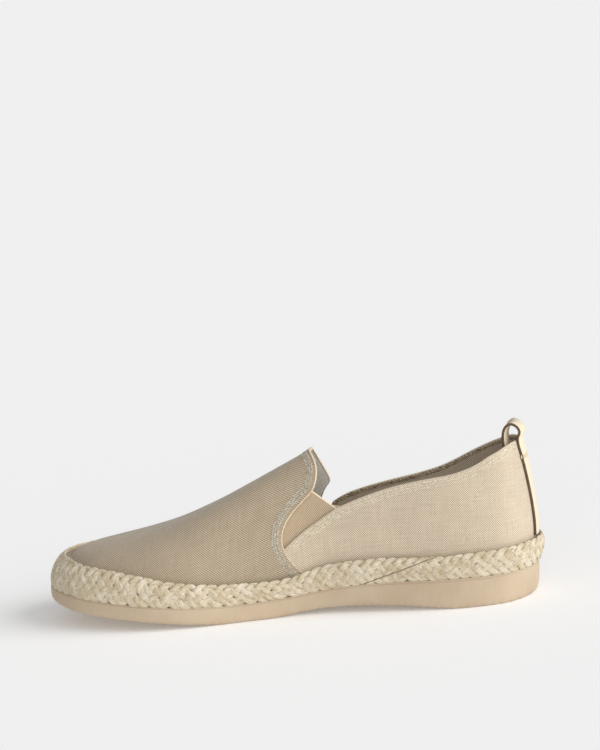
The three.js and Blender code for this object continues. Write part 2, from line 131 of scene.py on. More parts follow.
def cubic(before: Array, start: Array, end: Array, after: Array, f: Array) -> Array:
    """Points between two stated ones, on a smooth line that also minds their neighbours.

    Args:
        before: the points before the stretch.
        start: the points where it starts.
        end: the points where it ends.
        after: the points after it.
        f: shares of the way from start to end, one column.

    Returns:
        One row of coordinates for each share.
    """
    m0, m1 = (end - before) / 2, (after - start) / 2
    return ((2 * start - 2 * end + m0 + m1) * f**3 + (3 * end - 3 * start - 2 * m0 - m1) * f**2
            + m0 * f + start)


def spline(points: Sequence[Sequence[float]], t: Array) -> Array:
    """Points on a smooth line through a few stated ones.

    Args:
        points: the stated points.
        t: places along the line, 0 to 1.

    Returns:
        One row of coordinates for each place.
    """
    p = np.asarray(points, float)
    last = len(p) - 1
    s = np.clip(t, 0, 1) * last
    i = np.minimum(s.astype(int), last - 1)
    f = (s - i)[:, None]
    return cubic(p[np.maximum(i - 1, 0)], p[i], p[i + 1], p[np.minimum(i + 2, last)], f)


def unit(v: Array) -> Array:
    """Vectors of length one."""
    return v / np.maximum(np.linalg.norm(v, axis=-1, keepdims=True), 1e-12)


def length_along(points: Array) -> Array:
    """The length of a line of points up to each of them."""
    return np.concatenate([[0], np.cumsum(np.linalg.norm(np.diff(points, axis=0), axis=1))])


def direction(azimuth: float, elevation: float) -> Vector:
    """Where something stands, seen from the shoe; both angles in degrees, azimuth 180 on the inner side."""
    a, e = math.radians(azimuth), math.radians(elevation)
    return Vector((math.sin(a) * math.cos(e), -math.cos(a) * math.cos(e), math.sin(e)))


# ------------------------------------------------------------------ the last


@dataclass
class Last:
    """The foot form that every piece is shaped on. Sizes are in millimetres from the heel."""

    heel_centre: float = 34.0
    toe_centre: float = 258.0
    fan_blend: float = 9.0
    fan_drift: float = 0.12
    bulge_height: float = 22.0
    wall_start: float = 4.8
    clearance: float = 0.3
    samples: int = 720
    shift: Array = field(init=False)
    outline: dict[int, Array] = field(init=False)
    ends: tuple[float, float] = field(init=False)

    def __post_init__(self) -> None:
        """Work out the outline at even turns about the shoe, and where the frame's origin lies."""
        t = np.linspace(0, 1, 4001)
        dense = self._loop(t)
        toe = int(dense[:, 0].argmax())
        heel = int(dense[:, 0].argmin())
        heel_t = t[heel] - 1 if t[heel] > 0.5 else t[heel]
        self.ends = (float(dense[heel, 0]), float(dense[toe, 0]))
        angle = np.linspace(0, math.pi, self.samples + 1)
        station = self._station(angle)
        self.outline = {}
        for sign, (a, b) in ((1, (heel_t, t[toe])), (-1, (heel_t + 1, t[toe]))):
            fine = np.linspace(a, b, 6001)
            x = np.maximum.accumulate(self._loop(fine)[:, 0])
            at = np.interp(station, x, fine)
            p = self._loop(at)
            d = self._loop(at + 1e-4) - self._loop(at - 1e-4)
            n = unit(np.stack([-d[:, 1], d[:, 0]], 1))
            self.outline[sign] = np.column_stack([p, n])
        self.shift = np.zeros(3)
        low = self.sole_wall(np.zeros(1), np.full(1, 0.88), np.zeros(1))[0]
        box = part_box("outsole")[0]
        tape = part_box("pull_loop")
        self.shift = np.array([low[0] - box.x * 1000, -(tape[0].y + tape[1].y) * 500, 0.0])

    def _station(self, angle: Array) -> Array:
        """Distance from the heel at an angle of 0 at the heel to pi at the toe."""
        return self.ends[0] + (self.ends[1] - self.ends[0]) * (1 - np.cos(angle)) / 2

    @staticmethod
    def _loop(t: Array) -> Array:
        """Points on the closed outline, at places from 0 to 1 round it.

        Args:
            t: places round it; whole turns are left out.

        Returns:
            One row of x and y for each place.
        """
        s = (t - np.floor(t)) * len(OUTLINE)
        i = np.floor(s).astype(int) % len(OUTLINE)
        f = (s - np.floor(s))[:, None]
        return cubic(*(np.roll(OUTLINE, -k, 0)[i] for k in (-1, 0, 1, 2)), f)

    @staticmethod
    def read(column: str, x: Array) -> Array:
        """One column of the profile at x, along a smooth curve through its rows.

        Args:
            column: one of the names in PROFILE_COLUMNS.
            x: distances from the heel, in millimetres.

        Returns:
            The column's value at each distance.
        """
        xs = PROFILE[:, 0]
        ys = PROFILE[:, PROFILE_COLUMNS.index(column)]
        x = np.clip(x, xs[0], xs[-1])
        i = np.clip(np.searchsorted(xs, x, side="right") - 1, 0, len(xs) - 2)
        a, b = np.maximum(i - 1, 0), np.minimum(i + 2, len(xs) - 1)
        span = xs[i + 1] - xs[i]
        f = (x - xs[i]) / span
        m0 = (ys[i + 1] - ys[a]) / (xs[i + 1] - xs[a])
        m1 = (ys[b] - ys[i]) / (xs[b] - xs[i])
        return ((2 * f**3 - 3 * f**2 + 1) * ys[i] + (f**3 - 2 * f**2 + f) * span * m0
                + (3 * f**2 - 2 * f**3) * ys[i + 1] + (f**3 - f**2) * span * m1)

    def tread(self, x: Array) -> Array:
        """Height of the sole's underside at x."""
        return np.maximum(0.0, self.read("tread", x))

    def around(self, turn: Array) -> tuple[Array, Array]:
        """The outline at a turn from the heel (0) to the toe (pi); the outer side is negative.

        Args:
            turn: turns, any number of them.

        Returns:
            Rows of x, y and the outward normal, and the station of each row.
        """
        turn = (np.asarray(turn, float) + math.pi) % (2 * math.pi) - math.pi
        angle = np.abs(turn)
        grid = np.linspace(0, math.pi, self.samples + 1)
        rows = np.stack([
            np.where(turn >= 0, np.interp(angle, grid, self.outline[1][:, c]),
                     np.interp(angle, grid, self.outline[-1][:, c]))
            for c in range(4)
        ], -1)
        return rows, self._station(angle)

    def turn_at(self, station: Array, side: Side) -> Array:
        """The turn whose station is x on a side."""
        share = np.clip((np.asarray(station, float) - self.ends[0]) / (self.ends[1] - self.ends[0]), 0, 1)
        return side.value * np.arccos(1 - 2 * share)

    def lean(self, x: Array, y: Array, z: Array) -> Array:
        """Points tipped back with the walls at their station."""
        return np.stack([x - self.read("lean", x) * (z - self.tread(x)), y, z], -1)

    def fan(self, x: Array) -> Array:
        """The point on the middle line that the section at station x points to.

        Args:
            x: stations along the shoe.

        Returns:
            Distances of those points from the heel.
        """
        low = self.heel_centre + self.fan_blend * np.log1p(np.exp((x - self.heel_centre) / self.fan_blend))
        held = self.toe_centre - self.fan_blend * np.log1p(np.exp((self.toe_centre - low) / self.fan_blend))
        return held + self.fan_drift * (x - held)

    def spokes(self, turn: Array) -> tuple[Array, Array]:
        """The outline at each turn, and the point on the middle line that it points to.

        Args:
            turn: turns about the shoe.

        Returns:
            Rows of x, y and the outward normal, and rows of the middle's x and y.
        """
        rows, station = self.around(turn)
        centre = self.fan(station)
        return rows, np.stack([centre, self.read("ridge_y", centre)], -1)

    def raw(self, turn: Array, level: Array, inset: Array | float) -> tuple[Array, Array, Array]:
        """The form before it leans: turn about the shoe, level 0 sole to 1 crest, set in.

        Args:
            turn: turns about the shoe.
            level: levels up the form.
            inset: how far the form is set in, in millimetres.

        Returns:
            The x, y and z of each point, upright.
        """
        rows, station = self.around(turn)
        x = rows[..., 0] - rows[..., 2] * inset
        y = rows[..., 1] - rows[..., 3] * inset
        cx = self.fan(station)
        cy = self.read("ridge_y", cx)
        angle = np.clip(level, 0, 1) * math.pi / 2
        f = np.clip(np.cos(angle), 0, 1) ** (2 / self.read("n", station))
        f = np.where(level >= 1, 0.0, f)
        g = np.clip(np.sin(angle), 0, 1) ** (2 / self.read("m", station))
        foot = self.read("deck", x) + self.clearance
        crest = self.read("ridge", cx + (x - cx) * f) + self.wall_start - inset
        height = (crest - foot) * g
        t = height / self.bulge_height
        amount = np.where(y > cy, self.read("inner", station), self.read("outer", station))
        swell = 1 + amount * t * np.exp(1 - t)
        return cx + (x - cx) * f * swell, cy + (y - cy) * f * swell, foot + height

    def at(self, turn: Array, level: Array, inset: Array | float) -> Array:
        """Points of the form, in millimetres."""
        return self.lean(*self.raw(turn, level, inset))

    def level_at_height(self, turn: Array, height: Array, inset: Array | float) -> Array:
        """The level at which the form reaches a height above the floor.

        Args:
            turn: turns about the shoe.
            height: heights in millimetres.
            inset: how far the form is set in.

        Returns:
            The level for each turn.
        """
        low, high = np.zeros_like(turn), np.ones_like(turn)
        for _ in range(26):
            mid = (low + high) / 2
            below = self.raw(turn, mid, inset)[2] < height
            low, high = np.where(below, mid, low), np.where(below, high, mid)
        return (low + high) / 2

    def at_height(self, turn: Array, height: Array, inset: Array | float) -> Array:
        """Points of the form at stated heights above the floor."""
        x, y, _ = self.raw(turn, self.level_at_height(turn, height, inset), inset)
        return self.lean(x, y, height)

    def sole_wall(self, turn: Array, share: Array, inset: Array) -> Array:
        """Points of the outsole's wall, share 0 at the tread to 1 at the deck.

        Args:
            turn: turns about the shoe.
            share: shares of the wall's height.
            inset: how far inside the outline.

        Returns:
            One point for each turn.
        """
        rows, _ = self.around(turn)
        x = rows[..., 0] - rows[..., 2] * inset
        y = rows[..., 1] - rows[..., 3] * inset
        z = self.tread(x) + (self.read("deck", x) - self.tread(x)) * share
        return self.lean(x, y, z)

    def axes(self, turn: Array, level: Array, inset: float) -> tuple[Array, Array, Array, Array]:
        """Point, the two surface directions and the outward normal of the form.

        Args:
            turn: turns about the shoe.
            level: levels up the form.
            inset: how far the form is set in.

        Returns:
            The points, their change with turn and with level, and the normals.
        """
        step = 1e-3
        p = self.at(turn, level, inset)
        du = self.at(turn + step, level, inset) - self.at(turn - step, level, inset)
        high, low = np.minimum(level + step, 1), np.maximum(level - step, 0)
        dv = self.at(turn, high, inset) - self.at(turn, low, inset)
        normal = unit(np.cross(du, dv))
        return p, du / (2 * step), dv / np.maximum(high - low, 1e-9)[..., None], -normal

    def settle(self, points: Array, turn: Array, level: Array, inset: float) -> tuple[Array, Array]:
        """The turns and levels of the form's nearest points, from a first guess.

        Args:
            points: places near the form.
            turn: first guess at their turns.
            level: first guess at their levels.
            inset: how far the form is set in.

        Returns:
            The turns and the levels.
        """
        turn, level = turn.copy(), level.copy()
        for _ in range(6):
            p, du, dv, _ = self.axes(turn, level, inset)
            r = points - p
            a, b, c = (du * du).sum(-1), (du * dv).sum(-1), (dv * dv).sum(-1)
            e, g = (du * r).sum(-1), (dv * r).sum(-1)
            det = np.maximum(a * c - b * b, 1e-9)
            turn += np.clip((c * e - b * g) / det, -0.1, 0.1)
            level = np.clip(level + np.clip((a * g - b * e) / det, -0.1, 0.1), 0, 0.9995)
        return turn, level

    def to_frame(self, points: Array) -> Array:
        """Millimetres from the heel to metres in the frame."""
        return (points - self.shift) / 1000


# ------------------------------------------------------------------ edges of the upper


@dataclass
class Edges:
    """Where the vamp and the quarters end, as turns and levels on the last."""

    last: Last
    inset: float = 4.8
    tip_turn: dict[Side, float] = field(init=False)
    corner_turn: dict[Side, float] = field(init=False)

    def __post_init__(self) -> None:
        """Find the turns of each slit's foot and of each quarter's top corner."""
        self.tip_turn, self.corner_turn = {}, {}
        for side in Side:
            line = self.vamp_back(np.linspace(0, 1, 400), side)
            p = self.last.at(line, np.linspace(0, 1, 400), self.inset)
            below = p[:, 2] < QUARTER_FRONT[side][-1][1]
            self.tip_turn[side] = float(line[below][-1])
            self.corner_turn[side] = self._turn_where(side, *QUARTER_TOP[side][-1])

    def _turn_where(self, side: Side, x: float, z: float) -> float:
        """The turn of the form's point with a given x and height.

        Args:
            side: which side.
            x: distance from the heel.
            z: height above the floor.

        Returns:
            The turn.
        """
        turns = self.last.turn_at(np.linspace(x - 15, x + 15, 200), side)
        p = self.last.at_height(turns, np.full(200, z), self.inset)
        return float(turns[np.abs(p[:, 0] - x).argmin()])

    def vamp_back(self, level: Array, side: Side) -> Array:
        """The turn of the vamp's back edge at each level.

        Args:
            level: levels up the form.
            side: which side.

        Returns:
            One turn for each level.
        """
        line = spline(VAMP_BACK[side], np.linspace(0, 1, 500))
        z = np.maximum.accumulate(line[:, 1])
        low = self.last.turn_at(np.full(level.shape, 95.0), side)
        high = self.last.turn_at(np.full(level.shape, 165.0), side)
        for _ in range(30):
            mid = (low + high) / 2
            p = self.last.at(mid, level, self.inset)
            behind = p[..., 0] < np.interp(p[..., 2], z, line[:, 0])
            low, high = np.where(behind, mid, low), np.where(behind, high, mid)
        return (low + high) / 2

    def quarter_top(self, turn: Array, side: Side) -> Array:
        """The level of the quarter's top at each turn.

        Args:
            turn: turns about the shoe.
            side: which side.

        Returns:
            One level for each turn.
        """
        rows = [spline(QUARTER_TOP[side], np.linspace(0, 1, 300)),
                spline(QUARTER_FRONT[side], np.linspace(0, 1, 80))[1:]]
        line = np.concatenate(rows)
        x = np.maximum.accumulate(line[:, 0])
        low, high = np.zeros_like(turn), np.ones_like(turn)
        for _ in range(30):
            mid = (low + high) / 2
            p = self.last.at(turn, mid, self.inset)
            below = p[..., 2] < np.interp(p[..., 0], x, line[:, 1])
            low, high = np.where(below, mid, low), np.where(below, high, mid)
        return (low + high) / 2

    def quarter_foot(self, turn: Array, side: Side) -> Array:
        """The level of the quarter's lower edge: the sole, then the vamp's edge.

        Args:
            turn: turns about the shoe.
            side: which side.

        Returns:
            One level for each turn.
        """
        level = np.linspace(0, 0.5, 300)
        edge = np.abs(self.vamp_back(level, side))
        top = int((edge <= abs(self.tip_turn[side])).nonzero()[0].max())
        keep = np.maximum.accumulate(edge[: top + 1])
        return np.where(np.abs(turn) <= keep[0], 0.0, np.interp(np.abs(turn), keep, level[: top + 1]))


# ------------------------------------------------------------------ mesh making


@dataclass
class Weaver:
    """Turns grids, tubes and repeated stitches into finished pieces of the shoe."""

    last: Last
    weld: float = 2e-6  # metres within which vertices are merged

    def finish(self, bm: bmesh.types.BMesh, name: str, materials: Sequence[bpy.types.Material],
               slot: str) -> bpy.types.Object:
        """Make an object of a bmesh, dress it, and let it ride on the shoe.

        Args:
            bm: the mesh, in metres in the frame; it is freed.
            name: the piece's name.
            materials: its materials, in the order of the faces' indices.
            slot: not used.

        Returns:
            The piece.
        """
        mesh = bpy.data.meshes.new(name)
        bm.to_mesh(mesh)
        bm.free()
        for material in materials:
            mesh.materials.append(material)
        mesh.polygons.foreach_set("use_smooth", [True] * len(mesh.polygons))
        piece = bpy.data.objects.new(name, mesh)
        bpy.context.scene.collection.objects.link(piece)
        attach(piece, "root")
        log.info("%s: %d faces", name, len(mesh.polygons))
        return piece

    def grid(self, columns: int, rows: int, place: Callable[[Array, Array], Array],
             uv: Callable[[Array, Array], Array] | None = None,
             paint: Callable[[Array, Array], Array] | None = None) -> bmesh.types.BMesh:
        """A grid laid on a surface.

        Args:
            columns: faces across.
            rows: faces up.
            place: gives points in millimetres for shares across and up.
            uv: gives flat cloth coordinates in millimetres for the same shares.
            paint: gives the material index of a face from its middle's shares.

        Returns:
            The grid as a bmesh in the frame.
        """
        bm = bmesh.new()
        bmesh.ops.create_grid(bm, x_segments=columns, y_segments=rows, size=0.5)
        co = np.array([v.co for v in bm.verts])
        lo, hi = co.min(0), co.max(0)
        share = (co[:, :2] - lo[:2]) / (hi[:2] - lo[:2])
        u, v = share[:, 0], share[:, 1]
        if paint is not None:
            mid = (np.array([f.calc_center_median() for f in bm.faces])[:, :2] - lo[:2]) / (hi[:2] - lo[:2])
            for face, index in zip(bm.faces, paint(mid[:, 0], mid[:, 1])):
                face.material_index = int(index)
        flat = uv(u, v) if uv is not None else share
        layer = bm.loops.layers.uv.new("UVMap")
        bm.verts.index_update()
        for face in bm.faces:
            for loop in face.loops:
                loop[layer].uv = flat[loop.vert.index]
        for vert, p in zip(bm.verts, self.last.to_frame(place(u, v))):
            vert.co = p
        bmesh.ops.remove_doubles(bm, verts=bm.verts[:], dist=self.weld)
        bmesh.ops.dissolve_degenerate(bm, edges=bm.edges[:], dist=1e-7)
        bmesh.ops.recalc_face_normals(bm, faces=bm.faces[:])
        return bm

    def tube(self, path: Array, up: Array, wide: Array | float, thick: Array | float,
             sides: int = 8) -> bmesh.types.BMesh:
        """A round or flattened cord along a path.

        Args:
            path: points in millimetres.
            up: at each point, the direction in which the cord is thick.
            wide: half width across, in millimetres.
            thick: half thickness along up, in millimetres.
            sides: faces round it.

        Returns:
            The cord as a bmesh in the frame, its UV in millimetres along and round it.
        """
        count = len(path)
        tangent = unit(np.gradient(path, axis=0))
        across = unit(np.cross(tangent, up))
        rise = unit(np.cross(across, tangent))
        wide = np.broadcast_to(wide, (count,))
        thick = np.broadcast_to(thick, (count,))
        run = length_along(path)
        spans = count - 1

        def place(u: Array, v: Array) -> Array:
            """Round the cord with v, along it with u.

            Args:
                u: shares along the cord.
                v: shares round it.

            Returns:
                Points in millimetres.
            """
            i = np.rint(u * spans).astype(int)
            a = v * 2 * math.pi
            return (path[i] + across[i] * (wide[i] * np.cos(a))[:, None]
                    + rise[i] * (thick[i] * np.sin(a))[:, None])

        def flat(u: Array, v: Array) -> Array:
            """Lengths along and round the cord."""
            i = np.rint(u * spans).astype(int)
            return np.stack([run[i], v * 2 * math.pi * (wide[i] + thick[i]) / 2], -1)

        bm = self.grid(spans, sides, place, flat)
        self.close(bm)
        return bm

    def close(self, bm: bmesh.types.BMesh) -> None:
        """Fill the open ends of a mesh."""
        bmesh.ops.holes_fill(bm, edges=[e for e in bm.edges if e.is_boundary], sides=0)

    def join(self, parts: Sequence[bmesh.types.BMesh]) -> bmesh.types.BMesh:
        """Several bmeshes as one; the parts are freed.

        Args:
            parts: the bmeshes to join.

        Returns:
            One bmesh that holds them all.
        """
        whole = bmesh.new()
        for part in parts:
            mesh = bpy.data.meshes.new("part")
            part.to_mesh(mesh)
            part.free()
            whole.from_mesh(mesh)
            bpy.data.meshes.remove(mesh)
        return whole

    def running(self, points: Array, up: Array, bare: float, radius: float,
                lift: float) -> bmesh.types.BMesh:
        """Running stitches, one between each two points, with a share bare at either end."""
        gap = (points[1:] - points[:-1]) * bare
        return self.stitches(points[:-1] + gap, points[1:] - gap, up[:-1], radius, lift)

    def stitches(self, start: Array, end: Array, up: Array, radius: float,
                 lift: float = 0.1) -> bmesh.types.BMesh:
        """Short threads, each an arched bead from one needle hole to the next.

        Args:
            start: where each thread comes up, in millimetres.
            end: where it goes down.
            up: the cloth's outward normal there.
            radius: half the thread's thickness.
            lift: how far the thread's axis stands above the cloth.

        Returns:
            All the threads as one bmesh in the frame.
        """
        seed = bmesh.new()
        bmesh.ops.create_uvsphere(seed, u_segments=6, v_segments=4, radius=1)
        bead = bpy.data.meshes.new("bead")
        seed.to_mesh(bead)
        shape = np.array([v.co for v in seed.verts])
        seed.free()
        along = end - start
        length = np.linalg.norm(along, axis=1)
        x = unit(along)
        y = unit(np.cross(up, x))
        z = unit(np.cross(x, y))
        middle = (start + end) / 2 + z * lift
        points = (middle[:, None] + shape[None, :, 2:3] * (x * (length / 2)[:, None])[:, None]
                  + shape[None, :, 0:1] * y[:, None] * radius + shape[None, :, 1:2] * z[:, None] * radius)
        whole = bmesh.new()
        for thread in self.last.to_frame(points):
            bead.vertices.foreach_set("co", thread.ravel())
            whole.from_mesh(bead)
        bpy.data.meshes.remove(bead)
        return whole


# ------------------------------------------------------------------ finishes


def linear(red: int, green: int, blue: int) -> Colour:
    """A colour given as it looks on a screen, 0 to 255, made linear."""
    return tuple((c / 255 / 12.92) if c <= 10 else ((c / 255 + 0.055) / 1.055) ** 2.4
                 for c in (red, green, blue))


class Paint:
    """A material's nodes, made one at a time in plain terms."""

    def __init__(self, name: str) -> None:
        """Start an empty material with a plain surface.

        Args:
            name: the material's name.
        """
        self.material = bpy.data.materials.new(name)
        self.material.use_nodes = True
        self.tree = self.material.node_tree
        self.tree.nodes.clear()
        self.surface = self.tree.nodes.new("ShaderNodeBsdfPrincipled")
        out = self.tree.nodes.new("ShaderNodeOutputMaterial")
        self.tree.links.new(self.surface.outputs[0], out.inputs[0])

    def feed(self, socket: bpy.types.NodeSocket, value: object) -> None:
        """Link a socket to another, or set it to a value.

        Args:
            socket: the input to feed.
            value: another node's output, a colour or a number.
        """
        if isinstance(value, bpy.types.NodeSocket):
            self.tree.links.new(value, socket)
        elif isinstance(value, tuple) and len(value) == 3 and len(socket.default_value) == 4:
            socket.default_value = (*value, 1.0)
        else:
            socket.default_value = value

    def set(self, name: str, value: object) -> None:
        """Set one of the surface's inputs."""
        self.feed(self.surface.inputs[name], value)

    def coat(self, colour: object, rough: float, shine: float, sheen: float = 0.0) -> None:
        """Give the surface its colour, roughness, shine and soft edge light.

        Args:
            colour: a colour or a socket.
            rough: roughness, 0 to 1.
            shine: strength of its reflections.
            sheen: strength of the pale light at its edges, as on cloth.
        """
        names = ("Base Color", "Roughness", "Specular IOR Level", "Sheen Weight")
        for name, value in zip(names, (colour, rough, shine, sheen)):
            self.set(name, value)

    def math(self, operation: str, a: object, b: object = 0.0, c: object = 0.0) -> bpy.types.NodeSocket:
        """A sum on one to three numbers.

        Args:
            operation: the sum's name in Blender.
            a: first number or socket.
            b: second one.
            c: third one, where the sum has it.

        Returns:
            The result's socket.
        """
        node = self.tree.nodes.new("ShaderNodeMath")
        node.operation = operation
        for socket, value in zip(node.inputs, (a, b, c)):
            self.feed(socket, value)
        return node.outputs[0]

    def step(self, value: object, low: float, high: float, to_low: float = 0.0,
             to_high: float = 1.0) -> bpy.types.NodeSocket:
        """A value run smoothly from one range to another.

        Args:
            value: what is run through.
            low: where the range starts.
            high: where it ends.
            to_low: what the start becomes.
            to_high: what the end becomes.

        Returns:
            The result's socket.
        """
        node = self.tree.nodes.new("ShaderNodeMapRange")
        node.interpolation_type = "SMOOTHSTEP"
        for socket, v in zip(node.inputs, (value, low, high, to_low, to_high)):
            self.feed(socket, v)
        return node.outputs[0]

    def flat(self) -> tuple[bpy.types.NodeSocket, bpy.types.NodeSocket]:
        """The cloth coordinates of the piece's own UV map, in millimetres.

        Returns:
            The sockets of the coordinates along and across.
        """
        uv = self.tree.nodes.new("ShaderNodeUVMap")
        uv.uv_map = "UVMap"
        split = self.tree.nodes.new("ShaderNodeSeparateXYZ")
        self.feed(split.inputs[0], uv.outputs[0])
        return split.outputs[0], split.outputs[1]

    def solid(self) -> bpy.types.NodeSocket:
        """The object's own coordinates, in metres."""
        return self.tree.nodes.new("ShaderNodeTexCoord").outputs["Object"]

    def vector(self, x: object, y: object, z: object = 0.0) -> bpy.types.NodeSocket:
        """A vector of three numbers.

        Args:
            x: first number or socket.
            y: second one.
            z: third one.

        Returns:
            The vector's socket.
        """
        node = self.tree.nodes.new("ShaderNodeCombineXYZ")
        for socket, value in zip(node.inputs, (x, y, z)):
            self.feed(socket, value)
        return node.outputs[0]

    def noise(self, vector: bpy.types.NodeSocket, scale: float, detail: float = 2.0,
              rough: float = 0.5) -> bpy.types.NodeSocket:
        """Even noise, 0 to 1, at so many spots to a unit.

        Args:
            vector: where the noise is read.
            scale: spots to a unit.
            detail: how many finer layers it has.
            rough: how strong the finer layers are.

        Returns:
            The noise's socket.
        """
        node = self.tree.nodes.new("ShaderNodeTexNoise")
        for name, value in (("Vector", vector), ("Scale", scale), ("Detail", detail), ("Roughness", rough)):
            self.feed(node.inputs[name], value)
        return node.outputs[0]

    def mix(self, share: object, a: object, b: object, blend: str = "MIX") -> bpy.types.NodeSocket:
        """Two colours mixed.

        Args:
            share: share of the second colour.
            a: first colour.
            b: second colour.
            blend: how they are mixed.

        Returns:
            The mixed colour's socket.
        """
        node = self.tree.nodes.new("ShaderNodeMix")
        node.data_type = "RGBA"
        node.blend_type = blend
        for socket, value in ((node.inputs[0], share), (node.inputs[6], a), (node.inputs[7], b)):
            self.feed(socket, value)
        return node.outputs[2]

    def bump(self, height: object, distance: float, strength: float = 1.0) -> None:
        """Raise the surface by a height of 0 to 1 times a distance in metres.

        Args:
            height: the height's socket.
            distance: how high 1 stands, in metres.
            strength: how strongly it shows.
        """
        node = self.tree.nodes.new("ShaderNodeBump")
        for name, value in (("Height", height), ("Distance", distance), ("Strength", strength)):
            self.feed(node.inputs[name], value)
        self.set("Normal", node.outputs[0])


@dataclass(frozen=True)
class Weave:
    """Plain-woven canvas: one thread colour along the piece and another across it."""

    name: str
    light: Colour
    dark: Colour
    spacing: float = 0.65
    relief: float = 0.12
    slub: float = 0.17
    rough: float = 0.92
    shine: float = 0.2
    sheen: float = 0.3

    def build(self) -> bpy.types.Material:
        """The finish as a material.

        Returns:
            The material.
        """
        paint = Paint(self.name)
        u, v = paint.flat()
        here = paint.vector(u, v)
        wander = paint.math("SUBTRACT", paint.noise(here, 0.12, 2), 0.5)
        drift = paint.math("SUBTRACT", paint.noise(paint.vector(v, u, 7.0), 0.1, 2), 0.5)
        u = paint.math("ADD", u, paint.math("MULTIPLY", wander, 0.9))
        v = paint.math("ADD", v, paint.math("MULTIPLY", drift, 0.9))
        turn = math.pi / self.spacing
        a = paint.math("SINE", paint.math("MULTIPLY", u, turn))
        b = paint.math("SINE", paint.math("MULTIPLY", v, turn))
        cell = paint.math("MULTIPLY", a, b)
        along = paint.noise(paint.vector(paint.math("MULTIPLY", u, 1 / self.spacing),
                                         paint.math("MULTIPLY", v, 0.06)), 1.0, 3)
        across = paint.noise(paint.vector(paint.math("MULTIPLY", v, 1 / self.spacing),
                                          paint.math("MULTIPLY", u, 0.06), 3.0), 1.0, 3)
        tone = paint.mix(paint.step(cell, -0.35, 0.45), self.dark, self.light)
        streak = paint.math("ADD", paint.math("MULTIPLY", paint.math("SUBTRACT", along, 0.5), self.slub * 2),
                            paint.math("MULTIPLY", paint.math("SUBTRACT", across, 0.5), self.slub * 2))
        patch = paint.math("MULTIPLY", paint.math("SUBTRACT", paint.noise(here, 0.07, 2), 0.5), 0.12)
        gain = paint.math("ADD", paint.math("ADD", streak, patch), 1.0)
        tone = paint.mix(1.0, tone, paint.vector(gain, gain, gain), "MULTIPLY")
        paint.coat(tone, self.rough, self.shine, self.sheen)
        dome = paint.math("POWER", paint.math("ABSOLUTE", cell), 0.6)
        height = paint.math("ADD", dome, paint.math("MULTIPLY", streak, 0.6))
        paint.bump(height, self.relief / 1000, 0.7)
        return paint.material


@dataclass(frozen=True)
class Ribbed:
    """Cloth with fine ribs running along it, such as woven elastic or twill tape."""

    name: str
    crest: Colour
    furrow: Colour
    pitch: float = 0.9
    relief: float = 0.12
    knots: float = 0.5
    rough: float = 0.85
    shine: float = 0.2

    def build(self) -> bpy.types.Material:
        """The finish as a material.

        Returns:
            The material.
        """
        paint = Paint(self.name)
        u, v = paint.flat()
        rib = paint.math("SINE", paint.math("MULTIPLY", u, 2 * math.pi / self.pitch))
        rib = paint.step(rib, -1, 1)
        knot = paint.math("SINE", paint.math("MULTIPLY", v, 2 * math.pi / (self.pitch * 1.1)))
        knot = paint.math("MULTIPLY", paint.step(knot, -1, 1), self.knots)
        mottle = paint.noise(paint.vector(u, paint.math("MULTIPLY", v, 0.3)), 0.8, 3)
        share = paint.math("SUBTRACT", rib, paint.math("MULTIPLY", knot, 0.5))
        share = paint.math("ADD", share, paint.math("MULTIPLY", paint.math("SUBTRACT", mottle, 0.5), 0.7))
        paint.coat(paint.mix(paint.step(share, 0, 1), self.furrow, self.crest), self.rough, self.shine)
        paint.bump(paint.math("SUBTRACT", rib, knot), self.relief / 1000, 0.8)
        return paint.material


@dataclass(frozen=True)
class Mottled:
    """A matt stuff of nearly one colour with fine unevenness: thread, tape edge, rubber."""

    name: str
    main: Colour
    other: Colour
    size: float = 0.8
    relief: float = 0.05
    rough: float = 0.85
    shine: float = 0.2

    def build(self) -> bpy.types.Material:
        """The finish as a material.

        Returns:
            The material.
        """
        paint = Paint(self.name)
        spots = paint.noise(paint.solid(), 1000 / self.size, 3)
        paint.coat(paint.mix(paint.step(spots, 0.25, 0.75), self.main, self.other), self.rough, self.shine)
        paint.bump(spots, self.relief / 1000, 0.6)
        return paint.material


@dataclass(frozen=True)
class Fibre:
    """Twisted plant fibre: long thin streaks that wind slowly round the strand."""

    name: str
    pale: Colour
    straw: Colour
    shade: Colour
    twist: float = 0.35
    relief: float = 0.35
    rough: float = 0.95
    shine: float = 0.15
    sheen: float = 0.25

    def build(self) -> bpy.types.Material:
        """The finish as a material.

        Returns:
            The material.
        """
        paint = Paint(self.name)
        u, v = paint.flat()
        wound = paint.math("ADD", v, paint.math("MULTIPLY", u, self.twist))
        thin = paint.vector(paint.math("MULTIPLY", u, 0.16), paint.math("MULTIPLY", wound, 2.4))
        streak = paint.noise(thin, 1.0, 4, 0.65)
        patch = paint.noise(paint.solid(), 160, 3)
        tone = paint.mix(paint.step(patch, 0.3, 0.7), self.straw, self.pale)
        # The shade colour is painted shade: it darkens the low streaks, where the bump sinks, like the gaps
        # between fibres.
        tone = paint.mix(paint.step(streak, 0.52, 0.3), tone, self.shade)
        paint.coat(tone, self.rough, self.shine, self.sheen)
        paint.bump(streak, self.relief / 1000, 0.9)
        return paint.material


